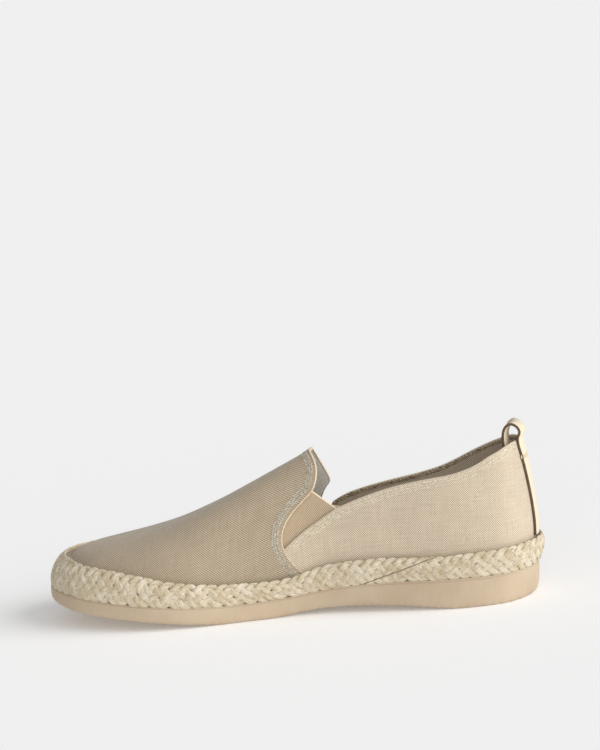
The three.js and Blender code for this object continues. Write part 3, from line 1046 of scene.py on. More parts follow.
@dataclass(frozen=True)
class Rubber:
    """Moulded rubber with faint upright marks from its mould."""

    name: str
    main: Colour
    other: Colour
    pitch: float = 1.1
    relief: float = 0.03
    rough: float = 0.6
    shine: float = 0.35

    def build(self) -> bpy.types.Material:
        """The finish as a material.

        Returns:
            The material.
        """
        paint = Paint(self.name)
        u, v = paint.flat()
        line = paint.noise(paint.vector(paint.math("MULTIPLY", u, 1 / self.pitch),
                                        paint.math("MULTIPLY", v, 0.05)), 1.0, 2)
        cloud = paint.noise(paint.solid(), 45, 3)
        share = paint.math("ADD", paint.math("MULTIPLY", line, 0.2), paint.math("MULTIPLY", cloud, 0.8))
        paint.coat(paint.mix(paint.step(share, 0.3, 0.7), self.main, self.other), self.rough, self.shine)
        grain = paint.noise(paint.solid(), 2500, 2)
        paint.bump(paint.math("ADD", line, paint.math("MULTIPLY", grain, 0.5)), self.relief / 1000, 0.4)
        return paint.material


@dataclass(frozen=True)
class Plain:
    """A single even colour, which may glow a little."""

    name: str
    colour: Colour
    rough: float = 0.9
    shine: float = 0.0
    glow: float = 0.0

    def build(self) -> bpy.types.Material:
        """The finish as a material.

        Returns:
            The material.
        """
        paint = Paint(self.name)
        paint.coat(self.colour, self.rough, self.shine)
        paint.set("Emission Color", self.colour)
        paint.set("Emission Strength", self.glow)
        return paint.material


# ------------------------------------------------------------------ the upper


@dataclass
class Relief:
    """Slight hollows and swellings of the worn-in canvas, each set on the last."""

    # x, y, z of the middle, its reach along x, y and z, and its depth inwards, in mm
    spots: tuple[tuple[float, ...], ...] = (
        (126, 3, 93, 22, 26, 14, 1.6),
        (196, 6, 62, 18, 24, 14, -0.6),
        (188, 33, 42, 16, 8, 9, 0.6),
        (222, -26, 42, 14, 10, 9, 0.6),
        (250, 20, 38, 12, 12, 9, -0.5),
        (160, 30, 50, 12, 12, 14, 0.5),
        (92, 33, 45, 22, 14, 10, 0.7),
        (60, 36, 60, 16, 14, 9, -0.4),
        (52, -34, 55, 18, 14, 12, 0.6),
        (110, -38, 38, 22, 14, 9, 0.6),
        (22, 26, 66, 10, 12, 10, 0.4),
    )

    def depth(self, points: Array) -> Array:
        """How far the cloth lies inside its smooth form at each point.

        Args:
            points: places on the smooth form, in millimetres.

        Returns:
            One depth for each, in millimetres.
        """
        total = np.zeros(points.shape[:-1])
        for x, y, z, rx, ry, rz, deep in self.spots:
            away = ((points - (x, y, z)) / (rx, ry, rz)) ** 2
            total = total + deep * np.exp(-away.sum(-1))
        return total


@dataclass
class Skin:
    """The canvas's surface: the last with its slight relief, and lengths measured on it."""

    last: Last
    relief: Relief
    turns: int = 361
    levels: int = 91
    inset: float = 4.8
    lengths: Array = field(init=False)
    run: Array = field(init=False)

    def __post_init__(self) -> None:
        """Measure the cloth up from the sole and round the shoe."""
        t = np.linspace(-math.pi, math.pi, self.turns)
        v = np.linspace(0, 1, self.levels)
        p = self.last.at(np.repeat(t, self.levels), np.tile(v, self.turns), self.inset)
        p = p.reshape(self.turns, self.levels, 3)
        rise = np.linalg.norm(np.diff(p, axis=1), axis=2)
        self.lengths = np.concatenate([np.zeros((self.turns, 1)), np.cumsum(rise, 1)], 1)
        rows, _ = self.last.around(t)
        self.run = length_along(rows[:, :2])

    def point(self, turn: Array, level: Array, inset: Array | float) -> Array:
        """Points of the cloth, in millimetres."""
        base = self.last.at(turn, level, self.inset)
        return self.last.at(turn, level, inset + self.relief.depth(base))

    def up_length(self, turn: Array, level: Array) -> Array:
        """Length of cloth from the sole up to a level.

        Args:
            turn: turns about the shoe.
            level: levels up the form.

        Returns:
            One length for each, in millimetres.
        """
        turn = (turn + math.pi) % (2 * math.pi) - math.pi
        i = (turn + math.pi) / (2 * math.pi) * (self.turns - 1)
        j = np.clip(level, 0, 1) * (self.levels - 1)
        i0 = np.clip(i.astype(int), 0, self.turns - 2)
        j0 = np.clip(j.astype(int), 0, self.levels - 2)
        fi, fj = i - i0, j - j0
        g = self.lengths
        return ((g[i0, j0] * (1 - fi) + g[i0 + 1, j0] * fi) * (1 - fj)
                + (g[i0, j0 + 1] * (1 - fi) + g[i0 + 1, j0 + 1] * fi) * fj)

    def round_length(self, turn: Array) -> Array:
        """Length round the sole up to a turn."""
        turn = (turn + math.pi) % (2 * math.pi) - math.pi
        return np.interp(turn, np.linspace(-math.pi, math.pi, self.turns), self.run)

    def rates(self, turn: Array, level: Array) -> tuple[Array, Array]:
        """Millimetres for each unit of turn and of level."""
        _, du, dv, _ = self.last.axes(turn, level, self.inset)
        return np.linalg.norm(du, axis=-1), np.linalg.norm(dv, axis=-1)

    def beside(self, turn: Array, level: Array, distance: float, inset: float,
               forward: bool) -> tuple[Array, Array]:
        """A line on the cloth at a distance from another.

        Args:
            turn: turns of the first line.
            level: its levels.
            distance: how far the new line lies from it, in millimetres.
            inset: how deep the new line lies.
            forward: towards the toe; otherwise, downwards.

        Returns:
            Its points and the outward normals there.
        """
        p, _, _, normal = self.last.axes(turn, level, inset)
        tangent = unit(np.gradient(p, axis=0))
        side = unit(np.cross(normal, tangent))
        wanted = np.array([1.0, 0, 0]) if forward else np.array([0, 0, -1.0])
        side = np.where((side @ wanted)[:, None] < 0, -side, side)
        turn, level = self.last.settle(p + side * distance, turn, level, inset)
        _, _, _, normal = self.last.axes(turn, level, inset)
        return self.point(turn, level, inset), normal


def even(points: Array, normals: Array, step: float) -> tuple[Array, Array]:
    """A line's points and normals again, evenly spaced about step apart.

    Args:
        points: the line's points.
        normals: the cloth's normals there.
        step: the wanted distance between points.

    Returns:
        The new points and their normals.
    """
    run = length_along(points)
    count = max(2, int(round(run[-1] / step)) + 1)
    at = np.linspace(0, run[-1], count)
    return (np.stack([np.interp(at, run, points[:, c]) for c in range(3)], 1),
            unit(np.stack([np.interp(at, run, normals[:, c]) for c in range(3)], 1)))


def zigzag(weaver: Weaver, near: tuple[Array, Array], far: tuple[Array, Array], step: float,
           radius: float, seed: int, margin: float = 0.6) -> bmesh.types.BMesh:
    """A row of zigzag stitches between two lines on the cloth.

    Args:
        weaver: makes the threads.
        near: points and normals of the first line.
        far: points and normals of the second, matching the first.
        step: distance between needle holes on a line, in millimetres.
        radius: half the thread's thickness.
        seed: for the slight unevenness of the holes.
        margin: length left bare at each end.

    Returns:
        The threads as one bmesh.
    """
    rng = np.random.default_rng(seed)
    run = length_along(near[0])
    at = np.arange(margin, run[-1] - margin, step / 2)
    at = at + rng.uniform(-0.2, 0.2, len(at)) * step

    def along(rows: Array) -> Array:
        """A line's rows at the needle holes."""
        return np.stack([np.interp(at, run, rows[:, k]) for k in range(3)], 1)

    odd = (np.arange(len(at)) % 2 == 1)[:, None]
    slack = rng.uniform(0, 0.22, (len(at), 1))
    a, b = along(near[0]), along(far[0])
    line = np.where(odd, a + (b - a) * slack, b + (a - b) * slack)
    return weaver.stitches(line[:-1], line[1:], unit(along(near[1]))[:-1], radius, 0.06)


@dataclass
class Vamp:
    """The front of the upper: one sheet of canvas from slit to slit over the toes."""

    skin: Skin
    edges: Edges
    weaver: Weaver
    outer: float = 4.6
    inner: float = 6.1
    columns: int = 150
    rows: int = 62
    roll: int = 6
    binding_reach: float = 0.46
    thread: float = 0.19
    # each row of stitches: near and far line in front of the edge, step, and seed
    rows_sewn: tuple[tuple[float, float, float, int], ...] = (
        (2.0, 3.8, 0.8, 4), (3.5, 5.2, 0.86, 5), (4.9, 6.5, 0.94, 6))
    # the same seams on the lining: distances from the edge, step, and half thickness
    rows_under: tuple[float, ...] = (1.9, 3.4, 5.0)
    under_step: float = 1.25
    under_thread: float = 0.24

    def _turns(self, column: Array, level: Array, short: float) -> Array:
        """The turn of each vertex of the grid.

        Args:
            column: the vertices' columns.
            level: their levels.
            short: how far the flat sheet stops short of its rolled edge.

        Returns:
            One turn for each vertex.
        """
        c, r = self.columns, self.roll
        start = self.edges.vamp_back(level, Side.INNER)
        end = 2 * math.pi - np.abs(self.edges.vamp_back(level, Side.OUTER))
        rate, _ = self.skin.rates(start, level)
        start = start + short / rate
        rate, _ = self.skin.rates(end, level)
        end = end - short / rate
        out = np.clip(column / c, 0, 1)
        back = np.clip((column - c - r) / c, 0, 1)
        share = np.where(column <= c, out, 1 - back)
        share = np.where((column > c) & (column < c + r), 1.0, share)
        share = np.where(column >= 2 * c + r, 0.0, share)
        return start + (end - start) * share

    def sheet(self, canvas: bpy.types.Material, lining: bpy.types.Material) -> bpy.types.Object:
        """The canvas itself, with its lining side.

        Args:
            canvas: the outside's material.
            lining: the inside's material.

        Returns:
            The piece.
        """
        c, r = self.columns, self.roll
        total = 2 * c + 2 * r
        thick = (self.inner - self.outer) / 2
        middle = (self.inner + self.outer) / 2

        def spots(u: Array, v: Array) -> tuple[Array, Array, Array]:
            """Column, level and turn of each vertex.

            Args:
                u: shares across the grid.
                v: shares up the grid.

            Returns:
                The columns, the levels and the turns.
            """
            column = np.rint(u * total)
            row = np.rint(v * self.rows)
            level = np.clip((row - 1) / (self.rows - 1), 0, 1)
            turn = self._turns(column, level, thick)
            return column, level, turn

        def place(u: Array, v: Array) -> Array:
            """Outside, rolled edge, inside, rolled edge; the first row is the closed foot.

            Args:
                u: shares across the grid.
                v: shares up the grid.

            Returns:
                Points in millimetres.
            """
            column, level, turn = spots(u, v)
            on_side = (column > c) & (column < c + r)
            angle = np.where(column <= c, 0.0, math.pi)
            angle = np.where(on_side, (column - c) / r * math.pi, angle)
            angle = np.where(column > 2 * c + r, math.pi - (column - 2 * c - r) / r * math.pi, angle)
            foot = np.rint(v * self.rows) == 0
            depth = np.where(foot, middle, middle - thick * np.cos(angle))
            p = self.skin.point(turn, level, depth)
            step = 1e-3
            tangent = unit(self.skin.point(turn + step, level, middle)
                           - self.skin.point(turn - step, level, middle))
            way = np.where(on_side, 1.0, np.where(column > 2 * c + r, -1.0, 0.0))
            reach = way * thick * np.sin(angle) * np.where(foot, 0.0, 1.0)
            return p + tangent * reach[:, None]

        def flat(u: Array, v: Array) -> Array:
            """Cloth coordinates: square to the middle line, and fanned round the toe.

            Args:
                u: shares across the grid.
                v: shares up the grid.

            Returns:
                Flat coordinates in millimetres.
            """
            _, level, turn = spots(u, v)
            rows, middle_line = self.skin.last.spokes(turn)
            centre = middle_line[:, 0]
            way = np.arctan2(rows[:, 1] - middle_line[:, 1], rows[:, 0] - centre)
            length = self.skin.up_length(turn, np.ones_like(turn)) - self.skin.up_length(turn, level)
            return np.stack([centre + length * np.cos(way), length * np.sin(way)], -1)

        def paint(u: Array, v: Array) -> Array:
            """Canvas outside and round the edge, lining inside."""
            column = u * total
            return (column > c + r / 2) & (column < 2 * c + 1.5 * r)

        bm = self.weaver.grid(total, self.rows, place, flat, paint)
        return self.weaver.finish(bm, "vamp", [canvas, lining], "canvas")

    def edge_line(self, inset: float, distance: float = 0.0) -> tuple[Array, Array]:
        """A line beside the vamp's back edge, from the inner foot over the throat to the outer foot.

        Args:
            inset: how deep the line lies.
            distance: how far in front of the edge it runs.

        Returns:
            Its points and the outward normals there.
        """
        level = np.linspace(0.02, 0.9995, 260)
        halves = []
        for side in (Side.INNER, Side.OUTER):
            turn = self.edges.vamp_back(level, side)
            if distance:
                p, n = self.skin.beside(turn, level, distance, inset, True)
            else:
                _, _, _, n = self.skin.last.axes(turn, level, inset)
                p = self.skin.point(turn, level, inset)
            halves.append((p, n))
        p = np.concatenate([halves[0][0], halves[1][0][::-1]])
        n = np.concatenate([halves[0][1], halves[1][1][::-1]])
        return p, n

    def binding(self, tape: bpy.types.Material) -> bpy.types.Object:
        """The rolled tape that closes the vamp's back edge.

        Args:
            tape: the binding's material.

        Returns:
            The piece.
        """
        p, n = even(*self.edge_line((self.outer + self.inner) / 2, 0.3), 0.7)
        bm = self.weaver.tube(p, n, self.binding_reach, (self.inner - self.outer) / 2 + 0.24, 12)
        return self.weaver.finish(bm, "vamp_binding", [tape], "canvas")

    def stitching(self, thread: bpy.types.Material) -> bpy.types.Object:
        """The band of zigzag stitches just in front of the binding.

        Args:
            thread: the thread's material.

        Returns:
            The piece.
        """
        parts = [zigzag(self.weaver, self.edge_line(self.outer, near), self.edge_line(self.outer, far),
                        step, self.thread, seed)
                 for near, far, step, seed in self.rows_sewn]
        return self.weaver.finish(self.weaver.join(parts), "vamp_stitching", [thread], "canvas")

    def under_stitching(self, thread: bpy.types.Material) -> bpy.types.Object:
        """The same seams where they show on the lining, as rows of short threads.

        Args:
            thread: the thread's material.

        Returns:
            The piece.
        """
        parts = []
        for distance in self.rows_under:
            p, n = even(*self.edge_line(self.inner, distance), self.under_step)
            parts.append(self.weaver.running(p, -n, 0.12, self.under_thread, 0.06))
        return self.weaver.finish(self.weaver.join(parts), "vamp_lining_stitching", [thread], "canvas")


@dataclass
class Quarters:
    """The back of the upper: one sheet from slit to slit round the heel, with a turned hem."""

    skin: Skin
    edges: Edges
    weaver: Weaver
    outer: float = 4.8
    inner: float = 6.3
    columns: int = 260
    rows: int = 40
    roll: int = 8
    thread: float = 0.16
    bare: float = 1.5
    # the overcast threads: from and to below the top, their spacing and half their thickness
    whip: tuple[float, float] = (-0.1, 2.5)
    whip_step: float = 2.2
    whip_thread: float = 0.62
    # each row of stitches: near and far line below the top, step, and seed
    rows_sewn: tuple[tuple[float, float, float, int], ...] = (
        (1.0, 2.8, 0.85, 9), (2.6, 4.4, 0.92, 10), (4.2, 5.8, 1.0, 11))
    # the heel stiffener's seam, from its foot up: distance from the heel, and height
    counter: tuple[tuple[float, float], ...] = ((37, 30), (33.5, 40), (31, 50), (27, 62), (20, 73), (12, 80))
    seam_step: float = 1.5
    seam_thread: float = 0.15

    def spread(self, u: Array) -> Array:
        """The turn at a share of the way from the outer slit's foot to the inner one's.

        Args:
            u: shares across the grid.

        Returns:
            One turn for each share.
        """
        e = self.edges
        marks = [-abs(e.tip_turn[Side.OUTER]), -abs(e.corner_turn[Side.OUTER]),
                 abs(e.corner_turn[Side.INNER]), abs(e.tip_turn[Side.INNER])]
        return np.interp(u, [0, 0.16, 0.84, 1], marks)

    def limits(self, turn: Array) -> tuple[Array, Array]:
        """Levels of the sheet's foot and top.

        Args:
            turn: turns about the shoe.

        Returns:
            The foot's levels and the top's.
        """
        e = self.edges
        foot = np.where(turn >= 0, e.quarter_foot(turn, Side.INNER), e.quarter_foot(turn, Side.OUTER))
        top = np.where(turn >= 0, e.quarter_top(turn, Side.INNER), e.quarter_top(turn, Side.OUTER))
        return foot, np.maximum(top, foot)

    def sheet(self, canvas: bpy.types.Material, lining: bpy.types.Material) -> bpy.types.Object:
        """The canvas with its hem and its lining side.

        Args:
            canvas: the outside's material.
            lining: the inside's material.

        Returns:
            The piece.
        """
        n, h = self.rows, self.roll
        total = 2 * n + h + 2
        thick = (self.inner - self.outer) / 2
        middle = (self.inner + self.outer) / 2

        def spots(u: Array, v: Array) -> tuple[Array, Array, Array, Array, Array]:
            """Row, turn, level, angle of the hem and its share of the full thickness.

            Args:
                u: shares across the grid.
                v: shares up the grid.

            Returns:
                The rows, turns, levels, angles and shares.
            """
            row = np.rint(v * total)
            turn = self.spread(u)
            foot, top = self.limits(turn)
            _, rate = self.skin.rates(turn, np.minimum(top, 0.99))
            room = (top - foot) * rate
            share = np.clip(room / 1.5, 0, 1)
            top = np.maximum(top - thick * share / rate, foot)
            up = np.clip((row - 1) / n, 0, 1)
            down = np.clip((row - 1 - n - h) / n, 0, 1)
            level = foot + (top - foot) * np.where(row <= n + 1, up, 1 - down)
            angle = np.clip((row - 1 - n) / h, 0, 1) * math.pi
            closed = (row == 0) | (row == total)
            return row, turn, level, angle, np.where(closed, 0.0, share)

        def place(u: Array, v: Array) -> Array:
            """Outside, hem, inside; the first and last rows are the closed foot.

            Args:
                u: shares across the grid.
                v: shares up the grid.

            Returns:
                Points in millimetres.
            """
            row, turn, level, angle, share = spots(u, v)
            p = self.skin.point(turn, level, middle - thick * share * np.cos(angle))
            step = 1e-3
            tangent = unit(self.skin.point(turn, level + step, middle)
                           - self.skin.point(turn, level - step, middle))
            hem = (row > n + 1) & (row < n + 1 + h)
            return p + tangent * (np.where(hem, thick * np.sin(angle), 0.0) * share)[:, None]

        def flat(u: Array, v: Array) -> Array:
            """Lengths of cloth round the shoe and up from the sole.

            Args:
                u: shares across the grid.
                v: shares up the grid.

            Returns:
                Flat coordinates in millimetres.
            """
            _, turn, level, angle, _ = spots(u, v)
            return np.stack([self.skin.round_length(turn),
                             self.skin.up_length(turn, level) + angle / math.pi * 3], -1)

        def paint(_: Array, v: Array) -> Array:
            """Canvas outside and over the hem, lining inside."""
            return v * total > n + 1 + h

        bm = self.weaver.grid(self.columns, total, place, flat, paint)
        return self.weaver.finish(bm, "quarters", [canvas, lining], "canvas")

    def line(self, distance: float, inset: float) -> tuple[Array, Array]:
        """A line on the sheet at a distance below its top, from slit to slit.

        Args:
            distance: how far below the top it runs.
            inset: how deep it lies.

        Returns:
            Its points and the outward normals there.
        """
        turn = self.spread(np.linspace(0.005, 0.995, 900))
        _, top = self.limits(turn)
        return self.skin.beside(turn, top, distance, inset, False)

    def stitching(self, thread: bpy.types.Material) -> bpy.types.Object:
        """The band of pale zigzag stitches that holds the hem.

        Args:
            thread: the thread's material.

        Returns:
            The piece.
        """
        parts = [zigzag(self.weaver, self.line(near, self.outer), self.line(far, self.outer), step,
                        self.thread, seed, self.bare)
                 for near, far, step, seed in self.rows_sewn]
        return self.weaver.finish(self.weaver.join(parts), "quarter_stitching", [thread], "canvas")

    def counter_seam(self, thread: bpy.types.Material) -> bpy.types.Object:
        """A faint curved seam on each side, where the heel's stiffener is sewn in.

        Args:
            thread: the thread's material.

        Returns:
            The piece.
        """
        parts = []
        for side in Side:
            line = spline(self.counter, np.linspace(0, 1, 60))
            turn = self.skin.last.turn_at(line[:, 0], side)
            for _ in range(6):
                level = self.skin.last.level_at_height(turn, line[:, 1], self.outer)
                p = self.skin.last.at(turn, level, self.outer)
                rate, _ = self.skin.rates(turn, level)
                turn = turn + side.value * np.clip((line[:, 0] - p[:, 0]) / rate, -0.05, 0.05)
            _, _, _, n = self.skin.last.axes(turn, level, self.outer)
            p, n = even(self.skin.point(turn, level, self.outer), n, self.seam_step)
            parts.append(self.weaver.running(p, n, 0.16, self.seam_thread, 0.0))
        return self.weaver.finish(self.weaver.join(parts), "counter_seam", [thread], "canvas")

    def whipping(self, thread: bpy.types.Material) -> bpy.types.Object:
        """Slanting overcast threads along the inside of the hem.

        Args:
            thread: the thread's material.

        Returns:
            The piece.
        """
        a, n = even(*self.line(self.whip[0], self.inner), self.whip_step)
        b, _ = even(*self.line(self.whip[1], self.inner), self.whip_step)
        count = min(len(a), len(b)) - 1
        a, b, n = a[:count], b[1:count + 1], n[:count]
        bm = self.weaver.stitches(a, b, -n, self.whip_thread, 0.1)
        return self.weaver.finish(bm, "collar_whipping", [thread], "canvas")


@dataclass
class Gore:
    """The ribbed elastic behind one slit."""

    skin: Skin
    weaver: Weaver
    side: Side
    outer: float = 7.1
    inner: float = 8.3
    columns: int = 26
    rows: int = 34

    def _spot(self, across: Array, down: Array) -> tuple[Array, Array]:
        """Turn and level of a point of the gore, across from its back edge and down from its top.

        Args:
            across: shares across, from the back edge.
            down: shares down, from the top.

        Returns:
            The turns and the levels.
        """
        back = spline(GORE_BACK[self.side], down)
        front = spline(GORE_FRONT[self.side], down)
        flat = back + (front - back) * across[:, None]
        turn = self.skin.last.turn_at(flat[:, 0], self.side)
        for _ in range(7):
            level = self.skin.last.level_at_height(turn, flat[:, 1], self.outer)
            p = self.skin.last.at(turn, level, self.outer)
            rate, _ = self.skin.rates(turn, level)
            turn = turn + self.side.value * (flat[:, 0] - p[:, 0]) / rate
        return turn, level

    def sheet(self, elastic: bpy.types.Material, selvedge: bpy.types.Material) -> bpy.types.Object:
        """The elastic, both sides, closed round its edge.

        Args:
            elastic: the webbing's material.
            selvedge: the material of its top edge.

        Returns:
            The piece.
        """
        c = self.columns
        total = 2 * c + 2

        def place(u: Array, v: Array) -> Array:
            """Front face across, then the back face returning.

            Args:
                u: shares across the grid.
                v: shares up the grid.

            Returns:
                Points in millimetres.
            """
            column = np.rint(u * total)
            across = np.where(column <= c, column / c, 1 - (column - c - 1) / c)
            across = np.clip(across, 0, 1)
            turn, level = self._spot(across, v)
            depth = np.where((column <= c) | (column == total), self.outer, self.inner)
            return self.skin.last.at(turn, level, depth)

        def flat(u: Array, v: Array) -> Array:
            """Lengths across and along the elastic.

            Args:
                u: shares across the grid.
                v: shares up the grid.

            Returns:
                Flat coordinates in millimetres.
            """
            p = place(u, v)
            back, front = np.array(GORE_BACK[self.side]), np.array(GORE_FRONT[self.side])
            top = (back[0] + front[0]) / 2
            tip = (back[-1] + front[-1]) / 2
            axis = (tip - top) / np.linalg.norm(tip - top)
            away = p[:, [0, 2]] - top
            return np.stack([away @ np.array([-axis[1], axis[0]]), away @ axis], -1)

        def paint(_: Array, v: Array) -> Array:
            """A paler selvedge along the top."""
            return v < 1.2 / self.rows

        bm = self.weaver.grid(total, self.rows, place, flat, paint)
        self.weaver.close(bm)
        name = f"gore_{self.side.name.lower()}_elastic"
        return self.weaver.finish(bm, name, [elastic, selvedge], "elastic")


# ------------------------------------------------------------------ the pull loop


@dataclass
class PullTape:
    """The tape up the back of the heel, over the collar as a loop and down inside."""

    last: Last
    weaver: Weaver
    width: float = 14.0
    thick: float = 1.5
    outside: float = 4.8
    wall: float = 2.0
    clearance: float = 0.3
    along: int = 120
    across: int = 10
    foot_width: float = 10.5
    tack_height: float = 80.5
    tack_step: float = 0.45
    tack_thread: float = 0.3
    tack_reach: float = 1.1
    strip: tuple[float, ...] = (34.2, 42, 50, 58, 66, 74, 81, 87)
    inside: tuple[float, ...] = (76.5, 72, 68)

    def heel_back(self, height: float, y: float, inset: float) -> float:
        """Where the back of the heel stands at a height and a distance off the middle.

        Args:
            height: height above the floor.
            y: distance off the middle.
            inset: how far the form is set in.

        Returns:
            The distance from the heel's end, in millimetres.
        """
        turn = np.linspace(-0.5, 0.5, 81)
        p = self.last.at_height(turn, np.full(81, float(height)), inset)
        return float(np.interp(y, p[:, 1], p[:, 0]))

    def knots(self, y: float) -> Array:
        """The stated points of the tape's middle line at a distance off the middle.

        Args:
            y: distance off the middle.

        Returns:
            One row of x and z for each point.
        """
        stand = self.clearance + self.thick / 2
        dish = self.heel_back(87, y, self.outside) - self.heel_back(87, 0, self.outside)
        rows = [(self.heel_back(z, y, self.outside) - stand, z) for z in self.strip]
        rows += [(x + dish, z) for x, z in LOOP]
        rows += [(self.heel_back(z, y, self.outside + self.wall) + stand + (1 if i == 0 else 0), z)
                 for i, z in enumerate(self.inside)]
        return np.array(rows)

    def middle(self, share: Array) -> tuple[Array, Array]:
        """The tape's middle line along the heel's centre and its outward normal, in X and Z.

        Args:
            share: shares along the tape, from its foot.

        Returns:
            The line's points and its normals.
        """
        line = spline(self.knots(0), share)
        tangent = unit(spline(self.knots(0), share + 0.004) - spline(self.knots(0), share - 0.004))
        return line, np.stack([-tangent[:, 1], tangent[:, 0]], -1)

    def sheet(self, tape: bpy.types.Material, edge: bpy.types.Material) -> bpy.types.Object:
        """The tape, its two cut edges dark with painted shade.

        Args:
            tape: the tape's material.
            edge: the material of its cut edges, dark as painted shade.

        Returns:
            The piece.
        """
        a = self.across
        total = 2 * a + 4
        share = np.linspace(0, 1, self.along + 1)
        base, normal = self.middle(share)
        dish = spline(self.knots(self.width / 2), share)[:, 0] - base[:, 0]
        side = np.array([*(np.arange(a + 1) / a * 2 - 1), 1.0, *(1 - np.arange(a + 1) / a * 2), -1.0, -1.0])
        face = np.array([*([1.0] * (a + 1)), 0.0, *([-1.0] * (a + 1)), 0.0, 1.0])
        run = length_along(base)

        def place(u: Array, v: Array) -> Array:
            """Round the tape's section with u, along it with v.

            Args:
                u: shares round the section.
                v: shares along the tape.

            Returns:
                Points in millimetres.
            """
            i = np.rint(u * total).astype(int)
            j = np.rint(v * self.along).astype(int)
            s, f = side[i], face[i]
            half = np.interp(v, [0, 0.42], [self.foot_width / 2, self.width / 2])
            reach = half * s
            flatx = base[j, 0] + dish[j] * (reach / self.width * 2)**2 + normal[j, 0] * f * self.thick / 2
            return np.stack([flatx, reach, base[j, 1] + normal[j, 1] * f * self.thick / 2], -1)

        def flat(u: Array, v: Array) -> Array:
            """Lengths across and along the tape.

            Args:
                u: shares round the section.
                v: shares along the tape.

            Returns:
                Flat coordinates in millimetres.
            """
            i = np.rint(u * total).astype(int)
            j = np.rint(v * self.along).astype(int)
            return np.stack([self.width / 2 * side[i], run[j]], -1)

        def paint(u: Array, _: Array) -> Array:
            """Painted shade on the two cut edges."""
            i = np.floor(u * total)
            return ((i >= a) & (i < a + 2)) | (i >= 2 * a + 2)

        bm = self.weaver.grid(total, self.along, place, flat, paint)
        self.weaver.close(bm)
        return self.weaver.finish(bm, "pull_tape", [tape, edge], "tape")

    def tack(self, thread: bpy.types.Material) -> bpy.types.Object:
        """Close threads across the tape, and over its edges, just below the collar.

        Args:
            thread: the thread's material.

        Returns:
            The piece.
        """
        share = np.linspace(0, 1, 400)
        base, normal = self.middle(share)
        j = int(np.abs(base[:200, 1] - self.tack_height).argmin())
        dish = spline(self.knots(self.width / 2), share[j:j + 1])[0, 0] - base[j, 0]
        y = np.arange(-self.width / 2 - 0.2, self.width / 2 + 0.3, self.tack_step)
        lift = self.thick / 2 + 0.05 - np.where(np.abs(y) > self.width / 2 - 0.3, 0.7, 0.0)
        x = base[j, 0] + dish * (y / self.width * 2)**2 + normal[j, 0] * lift
        middle = np.stack([x, y, base[j, 1] + normal[j, 1] * lift], -1)
        reach = np.array([0.12, 0, 1.0]) * self.tack_reach
        up = np.stack([np.full(len(y), normal[j, 0]), y * 0.06, np.zeros(len(y))], -1)
        bm = self.weaver.stitches(middle - reach, middle + reach, unit(up), self.tack_thread, 0.0)
        return self.weaver.finish(bm, "tape_bar_tack", [thread], "tape")


# ------------------------------------------------------------------ the sole


